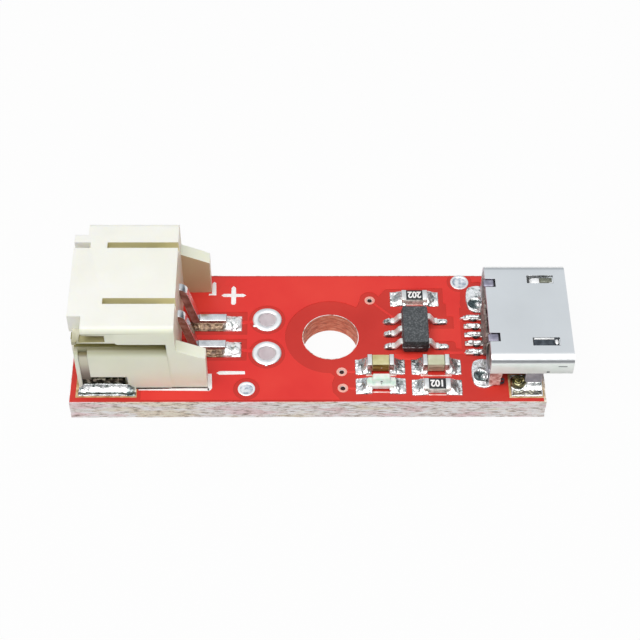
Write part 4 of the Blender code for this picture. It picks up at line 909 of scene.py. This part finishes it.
# Copies of the same strip. A pale, duller one on the flanks and the faces below them is
# painted light in place of dark mirror images; a darker violet-grey one on the front legs and
# the rear faces is painted shade; and a pink one low on the rear legs is a painted reflection
# of the board's red.
shell_painted_light = plated("plated_strip_painted_light", ("#F0F8F2", "#FCFFFC"), 0.5, 1500.0, 0.2, 0.2)
shell_painted_shade = plated("plated_strip_in_painted_shade", ("#A8A4B0", "#C6C2CC", "#DCDAE2"), 0.42, 1800.0, 0.4, 0.7)
shell_red_reflection = plated(
    "plated_strip_with_painted_red_reflection", [(0.36, "#B07C74"), (0.5, "#E2B4AA"), (0.64, "#FFE8E0")], 0.5, 3400.0, 0.4, 0.0,
)
dress(shell, "shell_plated_steel", shell_steel, shell_painted_light, shell_painted_shade, shell_red_reflection, replaces="charging_socket_shell")
# Painted light, painted shade and a painted red reflection, face by face.
paint(shell, 1, lambda x, y, z, way: abs(way.y) > 0.9 and abs(y - port_y) > 3.3
      or way.z < -0.1 and abs(y - port_y) > 2.2 and z < 1.6)
paint(shell, 2, lambda x, y, z, way: abs(y - port_y) > 3.3 and z < 0.95 and 26.0 < x < 28.0)
paint(shell, 3, lambda x, y, z, way: abs(y - port_y) > 3.3 and z < 0.95 and x <= 26.0)
paint(shell, 2, lambda x, y, z, way: way.x < -0.8 and x < 24.9)


# Insulator. Black glass-filled nylon behind and inside the shell, with the contact tongue.
# The fibres leave it grey and faintly speckled.
black_nylon = mottled("glass_filled_black_nylon", ("#1C1C1F", "#2C2C30"), 0.45, 3200.0, bump=(0.3, 0.00002))
insulator = solid_copy("charging_socket_insulator", "port_insulator")
ease(insulator, 0.03)

# Behind the shell the same nylon is painted a light, fine grey-brown on its rear faces and on
# a thin plate at its back: painted light and a painted reflection of the red board.
insulator_painted_reflection = mottled(
    "black_nylon_with_painted_reflection", [(0.36, "#5C504C"), (0.5, "#857670"), (0.64, "#B0A098")], 0.6, 7000.0,
    bump=(0.3, 0.00003),
)
dress(insulator, "insulator_plastic", black_nylon, insulator_painted_reflection, replaces="charging_socket_insulator")
paint(insulator, 1, lambda x, y, z, way: way.x < -0.8 and x < 25.0)
points = [(24.55, 3.35), (24.6, 4.2), (24.54, 5.1), (24.6, 5.8), (24.56, 6.35), (24.71, 6.35), (24.71, 3.35)]
make(prism("port_rear_painted_reflection", points, 0.03, 1.9), 0.03, "insulator_plastic", insulator_painted_reflection)


# Latch leaves and rear tabs. Small tongues of the same strip lie under each latch window
# and fill the shell's rear notches, dull violet-grey with a dark gap all round. Two nicks
# mark the near flank, and a burr hooks from the near rear leg.

# The tabs are dull, and the leaves are painted bright where they catch the lamp, olive-green
# where the inside of the shell shades them, and nearly black in the shade of a window: painted
# highlight and painted shade. The nicks and the hook take the same nearly black painted shade.
tab_steel = plated("dull_plated_steel", ("#7E7B8C", "#9A97A8", "#B4B2C0"), 0.45, 2600.0, 0.3)
bright = plated("bright_plated_leaf", ("#E8E8E8", "#FFFFFF"), 0.5, 1500.0, 0.2, 0.6)
leaf_olive_shade = plated("olive_shaded_plated_leaf", ("#6C6E5C", "#85877A", "#9C9E92"), 0.5, 3600.0, 0.4)
shaded = plated("shaded_plated_leaf", ("#272C33", "#3E454D", "#5A626A"), 0.5, 3200.0, 0.4, 0.3)
for name, y in (("near", 2.89), ("far", 7.0)):
    make(
        block(f"rear_tab_{name}", (24.62, y - 0.24, 2.26), (25.24, y + 0.26, 2.46)), 0.05,
        "shell_plated_steel", tab_steel, segments=3,
    )
points = [(27.42, 2.3), (27.62, 2.4), (28.02, 2.4), (28.02, 2.32), (27.42, 2.22)]
make(prism("latch_leaf_bright", points, 7.04, 7.44, axis="y"), 0.02, "shell_plated_steel", bright)
for name, low, high, segments, finish in (
    ("dull", (28.03, 7.06, 2.28), (28.78, 7.42, 2.45), 2, leaf_olive_shade),
    ("shaded", (27.28, 2.24, 2.28), (28.5, 2.72, 2.46), 3, shaded),
    ("edge", (27.3, 2.735, 2.28), (28.5, 2.83, 2.48), 3, bright),
    ("end", (28.52, 2.28, 2.28), (28.8, 2.82, 2.44), 3, shaded),
):
    make(block(f"latch_leaf_{name}", low, high), 0.03, "shell_plated_steel", finish, segments=segments)
bead("latch_leaf_bump", (28.63, 2.56, 2.43), 0.13, (0.9, 1.5, 0.4), "shell_plated_steel", bright)
for i, low, high in (
    (1, (28.66, 1.15, 1.86), (29.18, 1.2, 1.92)), (2, (28.02, 1.15, 1.3), (28.2, 1.2, 1.42)),
):
    make(block(f"port_shell_nick_{i}", low, high), 0.02, "shell_plated_steel", shaded)
path = [(25.36, 0.45), (25.58, 0.6), (25.62, 0.22), (25.42, 0.14)]
make(bent("port_leg_hook", path, 0.07, 1.24, 0.12, 0.09), 0.02, "shell_plated_steel", shaded)


# Charging contacts. Five tinned bronze strips that leave the insulator and lie on narrow
# pads, each in a tapered lump of solder. Their skin is bright, with a touch of grey.
foot_tin = plated("tinned_bronze_strip", ("#C4C2BC", "#F0EFEC"), 0.3, 2400.0, 0.5)
for i, tip in enumerate((23.42, 23.48, 23.48, 23.48, 23.3), start=1):
    make(
        solid_copy(f"charging_contact_{i}", f"port_contact_{i}"), 0.03,
        "tinned_copper", foot_tin, replaces=f"charging_contact_{i}",
    )
    y = port_y + (i - 3) * 0.65
    # Painted shade on the near side of each pool and towards the insulator.
    solder(
        f"port_contact_solder_{i}", (tip, y - 0.21), (24.95, y + 0.21), 1.85,
        lambda u, v: climb(u, v, (23.7, 24.5, y - 0.03, y + 0.1), 0.16, 0.2),
        lambda u, v: 1.2 * max(0.0, (y - 0.11 - v) / 0.07) + 0.9 * max(0.0, (u - 24.5) / 0.2),
        (44, 16), 0.035, i * 3.7, skin=0.15,
    )


# Leg joints. Solder under and beside the shell's legs, with a lump on the left of each
# front leg, and a round pit with a bead in each rear one, its ring painted dark as painted shade.
for end, y0, y1, leg, lump, foot_y in (
    ("near", 0.37, 1.95, (26.9, 27.82, 1.16, 1.41), (26.46, 1.34), 1.26),
    ("far", 7.7, 9.28, (26.9, 27.82, 8.31, 8.56), (26.46, 8.3), 8.46),
):
    def folds(x, y):
        """The lump's skin, which froze in rings round its top."""
        away = math.hypot(x - lump[0], (y - lump[1]) * 0.8)
        return dome(x, y, lump, 0.5, 0.36) + 0.04 * math.sin(away * 26) * (away < 0.55)

    # Painted shade on the lump, in a dark line between lump and leg, along the leg's foot and in a band near
    # the pool's near edge.
    solder(
        f"front_leg_pool_{end}", (26.02, y0), (27.92, y1), 0.05,
        lambda x, y: climb(x, y, leg, 0.28, 0.42) + folds(x, y),
        lambda x, y: 0.95 * (math.hypot(x - lump[0], y - lump[1]) < 0.5)
        + 0.9 * (abs(x - 26.84) < 0.1) * (y > 1.1) + 0.9 * max(0.0, 1 - abs(y - foot_y) / 0.14)
        + 0.7 * (abs(y - y0 - 0.25) < 0.15) * (x > 26.12) * (x < 27.82),
        (56, 46), 0.04, y0, finish=solder_olive, replaces=f"front_leg_solder_{end}",
    )
for end, pad_y, pit_y in (("near", 2.04, 1.82), ("far", 7.69, 7.28)):
    hollow, drop = (24.3, pit_y), (24.52, pit_y - 0.02)

    def pit(x, y):
        """The round pit and its bead, counted from the pad's skin."""
        away = math.hypot(x - hollow[0], y - hollow[1])
        brim = 0.05 * max(0.0, 1 - (away - 0.4) / 0.25)
        return dome(x, y, drop, 0.2, 0.15) + (-0.07 if away < 0.4 else brim)

    # Painted shade: the pit's ring is darkened round its bead.
    solder(
        f"rear_leg_pool_{end}", (23.76, pad_y - 1.06), (25.2, pad_y + 1.06), 0.75, pit,
        lambda x, y: 1.4 * (math.hypot(x - hollow[0], y - hollow[1]) < 0.4)
        * (math.hypot(x - drop[0], y - drop[1]) > 0.19),
        (60, 84), 0.012, pad_y, skin=0.09, replaces=f"rear_leg_solder_{end}",
    )


# Charger chip. Black moulding compound, matt and finely speckled, with a lighter parting
# line round its waist, on five bent and tinned leads.
chip_x, chip_y = 20.52, 4.97
# The second copy is darker: painted shade for the long sides.
compound = [
    mottled(f"black_moulding_compound_{finish}", stops, 0.55, 9000.0, bump=(0.4, 0.00002))
    for finish, stops in (("top", [(0.3, "#34373A"), (0.52, "#474B4E"), (0.66, "#6A6E70")]),
                          ("flank", [(0.3, "#191B1D"), (0.52, "#26292B"), (0.66, "#4A4D4F")]))
]
flash = plated(
    "moulding_flash", [(0.42, "#2C3032"), (0.5, "#8E9496"), (0.58, "#E8ECEE")], 0.5, 4200.0, 0.3, 0.0,
)
chip = make(solid_copy("charger_chip", "chip_body"), 0.03, "chip_epoxy", *compound, replaces="charger_chip")
# Painted shade: the long sides take the darker copy.
paint(chip, 1, lambda x, y, z, way: abs(way.y) > 0.7)
low, high = (chip_x - 0.815, chip_y - 1.435, 0.56), (chip_x + 0.815, chip_y + 1.435, 0.6)
make(block("chip_parting_line", low, high), 0.012, "chip_epoxy", flash)

# The leads are dipped in tin: pale and soft, because they mirror little but the white room.
lead_tin = plated("bright_tinned_lead", ("#D2D0CA", "#F2F1EE", "#FFFFFF"), 0.36, 2600.0, 0.4, 0.4)
for number, side, row in ((1, -1, 1), (2, -1, 0), (3, -1, -1), (4, 1, -1), (5, 1, 1)):
    y = chip_y + row * 0.95
    slope = [(0.52, 0.6), (0.92, 0.6), (1.2, 0.14), (1.42, 0.14)][::side]
    make(
        bent(f"chip_foot_{number}", [(chip_x + side * u, z) for u, z in slope], 0.15, y, 0.4, 0.1), 0.04,
        "tinned_copper", lead_tin, replaces=f"chip_lead_{number}",
    )
    reach = 2.08 if side > 0 else 1.92
    left, right = sorted((chip_x + side * reach, chip_x + side * 1.05))
    foot_x, drop = chip_x + side * 1.3, (chip_x + side * (reach - 0.28), y)
    # Painted shade on the near side of each pool.
    solder(
        f"chip_solder_{number}", (left, y - 0.21), (right, y + 0.21), 0.7,
        lambda u, v: climb(u, v, (foot_x - 0.25, foot_x + 0.25, y - 0.16, y + 0.16), 0.1, 0.24)
        + dome(u, v, drop, 0.26, 0.14),
        lambda u, v: 1.2 * max(0.0, (y - 0.13 - v) / 0.08),
        (34, 20), 0.04, number * 2.3, replaces=f"chip_lead_solder_{number}",
    )


# Chip resistors. A white alumina block with a black glaze on top and its value printed on
# that, and at both ends a thin metal wrap over the top, the end and the underside.

# The ends are dipped in tin, which leaves them white and satin.
cap_tin = plated("tin_dipped_end", ("#DDDDDA", "#FFFFFF"), 0.32, 2200.0, 0.5)
ENDS = (("left", -1), ("right", 1))


def joint(name, place, side, height, end):
    """Solder that covers a chip part's pad and climbs the part's end."""
    x, y = place
    left, right = sorted((x + side * 1.5, x + side * 0.5))
    wall = (x - 0.8, x + 0.8, y - 0.15, y + 0.4)
    heart = (x + side * 1.12, y + 0.1)
    # A darker round patch lies towards each pad's outer end.
    solder(
        f"{name}_joint_{end}", (left, y - 0.57), (right, y + 0.57), 0.1,
        lambda u, v: climb(u, v, wall, min(0.6 * height, 0.42), 0.6),
        lambda u, v: 0.75 * max(0.0, 1 - math.hypot(u - heart[0], (v - heart[1]) * 0.8) / 0.34),
        (34, 38), 0.06, x + side, replaces=f"{name}_solder_{end}",
    )


alumina = mottled("pressed_alumina", [(0.34, "#A4A29A"), (0.5, "#DCE0D8"), (0.64, "#FBFDF8")], 0.6, 3600.0)
glaze = mottled("black_glass_glaze", ("#131417", "#27282C"), 0.4, 2600.0)
for name, x, y, value in (("current_resistor", 20.6, 7.72, "202"), ("light_resistor", 21.68, 1.03, "102")):
    make(
        block(f"{name}_block", (x - 0.74, y - 0.4, 0.0), (x + 0.74, y + 0.4, 0.41)), 0.02,
        "resistor_film", alumina, replaces=f"{name}_body",
    )
    make(
        block(f"{name}_glaze", (x - 0.55, y - 0.37, 0.38), (x + 0.55, y + 0.38, 0.442)), 0.03,
        "resistor_film", glaze, segments=3,
    )
    bpy.ops.object.text_add(location=at(x, y + 0.03, 0.438), rotation=(0, 0, math.pi))
    digits = start(f"{name}_value")
    digits.data.body = value
    digits.data.size = 0.66 * MM
    digits.data.align_x = "CENTER"
    digits.data.align_y = "CENTER"
    digits.data.extrude = 0.008 * MM
    digits.data.offset = 0.024 * MM
    bpy.ops.object.convert(target="MESH")
    digits = start(f"{name}_value")
    settle(digits, (0.84, 1, 1))
    dress(digits, "resistor_film", ink)
    for end, side in ENDS:
        wrap = [(0.5, 0.455), (0.77, 0.455), (0.79, 0.43), (0.79, 0.05), (0.77, 0.03), (0.5, 0.03),
                (0.5, 0.07), (0.73, 0.07), (0.73, 0.405), (0.5, 0.405)]
        make(
            prism(f"{name}_end_{end}", [(x + side * u, z) for u, z in wrap], y - 0.375, y + 0.375, axis="y"),
            0.02, "end_cap_tin", cap_tin, replaces=f"{name}_cap_{end}",
        )
        joint(name, (x, y), side, 0.45, end)


# Chip capacitors. Fired ceramic blocks with metal ends dipped on all five sides, one tan
# and one cream. The pressed layers show a little on the long sides, which are painted darker
# and browner: painted shade and a painted reflection of the red board.
TAN = ("#BAB078", "#CFC894", "#E0DAAE")
TAN_SHADED_SIDE = [(0.36, "#4E3E12"), (0.5, "#7A6426"), (0.64, "#A8924E")]
CREAM = ("#BCBC98", "#CDD0B2", "#DFE4CE")
CREAM_SHADED_SIDE = [(0.36, "#8E7C68"), (0.5, "#BCAC92"), (0.64, "#DED2B8")]

# The long sides of the metal ends are painted greyer, mottled and duller: a painted reflection
# of the dark surroundings and painted shade.
end_side_in_shade = plated("tin_end_side_in_painted_shade", [(0.36, "#7E746C"), (0.5, "#B4ADA6"), (0.64, "#E4E2DE")], 0.42, 3600.0, 0.5)
for name, place, shade, top, shaded_sides in (
    ("output_capacitor", (18.35, 2.53), "tan", TAN, TAN_SHADED_SIDE),
    ("input_capacitor", (21.70, 2.53), "cream", CREAM, CREAM_SHADED_SIDE),
):
    fired = [
        mottled(f"fired_{shade}_ceramic_{finish}", stops, 0.45, scale, 5.0, (0.3, 0.00002))
        for finish, stops, scale in (("top", top, (900, 1600, 900)), ("flank", shaded_sides, (700, 1500, 5600)))
    ]
    body = make(
        solid_copy(f"{name}_body", f"{name}_block"), 0.05,
        f"capacitor_ceramic_{shade}", *fired, segments=3, replaces=f"{name}_body",
    )
    # Painted shade: the long sides of the body take the darker copy.
    paint(body, 1, lambda x, y, z, way: abs(way.y) > 0.8)
    for end, side in ENDS:
        cap = make(
            solid_copy(f"{name}_cap_{end}", f"{name}_end_{end}"), 0.06,
            "end_cap_tin", cap_tin, end_side_in_shade, segments=3, replaces=f"{name}_cap_{end}",
        )
        paint(cap, 1, lambda x, y, z, way: abs(way.y) > 0.8)
        joint(name, place, side, 0.8, end)
bead("output_capacitor_fleck", (18.41, 2.135, 0.45), 0.05, (1, 0.4, 1), "capacitor_ceramic_tan", cap_tin, 8)


# Status light. A white resin base with rounded ends, a milky lens moulded on it with two
# dark marks of the die on its near side, and a tinned terminal at each end.
resin = mottled(
    "moulded_white_resin", [(0.32, "#C9EAD8"), (0.45, "#E8F3EA"), (0.6, "#FBFBF6")], 0.4, 1700.0, 3.0,
)
shader = resin.node_tree.nodes["Principled BSDF"]
shader.inputs["Subsurface Weight"].default_value = 0.2
shader.inputs["Subsurface Radius"].default_value = (0.0003, 0.0003, 0.0002)
shader.inputs["Subsurface Scale"].default_value = 0.4
die = plated("dark_die", ("#2E3230", "#5A605C"), 0.4, 2000.0, 0.1, 0.0)
x, y = 18.38, 1.14
half, corner_radius = 0.87, 0.2
reach = half - corner_radius
plan = []
for along, across, turn in ((reach, 0.19, 0), (-reach, 0.19, 90), (-reach, -0.06, 180), (reach, -0.06, 270)):
    for step in range(0, 91, 15):
        angle = math.radians(turn + step)
        away_x, away_y = corner_radius * math.cos(angle), corner_radius * math.sin(angle)
        plan.append((x + along + away_x, y + across + away_y))
make(
    prism("light_base", plan, 0.06, 0.40), 0.05,
    "light_base_white", resin, segments=3, replaces="status_light_base",
)
profile = [(y - 0.1, 0.38), (y + 0.45, 0.38), (y + 0.42, 0.71), (y + 0.06, 0.71)]
lens = prism("light_lens", profile, x - 0.55, x + 0.55, axis="x")
nudge(lens, (17, 0, 0.6), (x, 3, 0.8), (0.06, 0, 0))
nudge(lens, (x, 0, 0.6), (20, 3, 0.8), (-0.06, 0, 0))
make(lens, 0.05, "light_lens", resin, segments=3, replaces="status_light_lens")
for name, spot, size in (("upper", (x, y - 0.035, 0.51), 0.05), ("lower", (x, y - 0.12, 0.40), 0.035)):
    bead(f"light_die_{name}", spot, size, (1.3, 0.8, 0.8), "light_lens", die, 8)
for end, side in ENDS:
    make(
        solid_copy(f"status_light_terminal_{end}", f"light_terminal_{end}"), 0.02,
        "end_cap_tin", cap_tin, replaces=f"status_light_terminal_{end}",
    )
    joint("status_light", (18.36, 1.12), side, 0.4, end)

low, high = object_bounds()
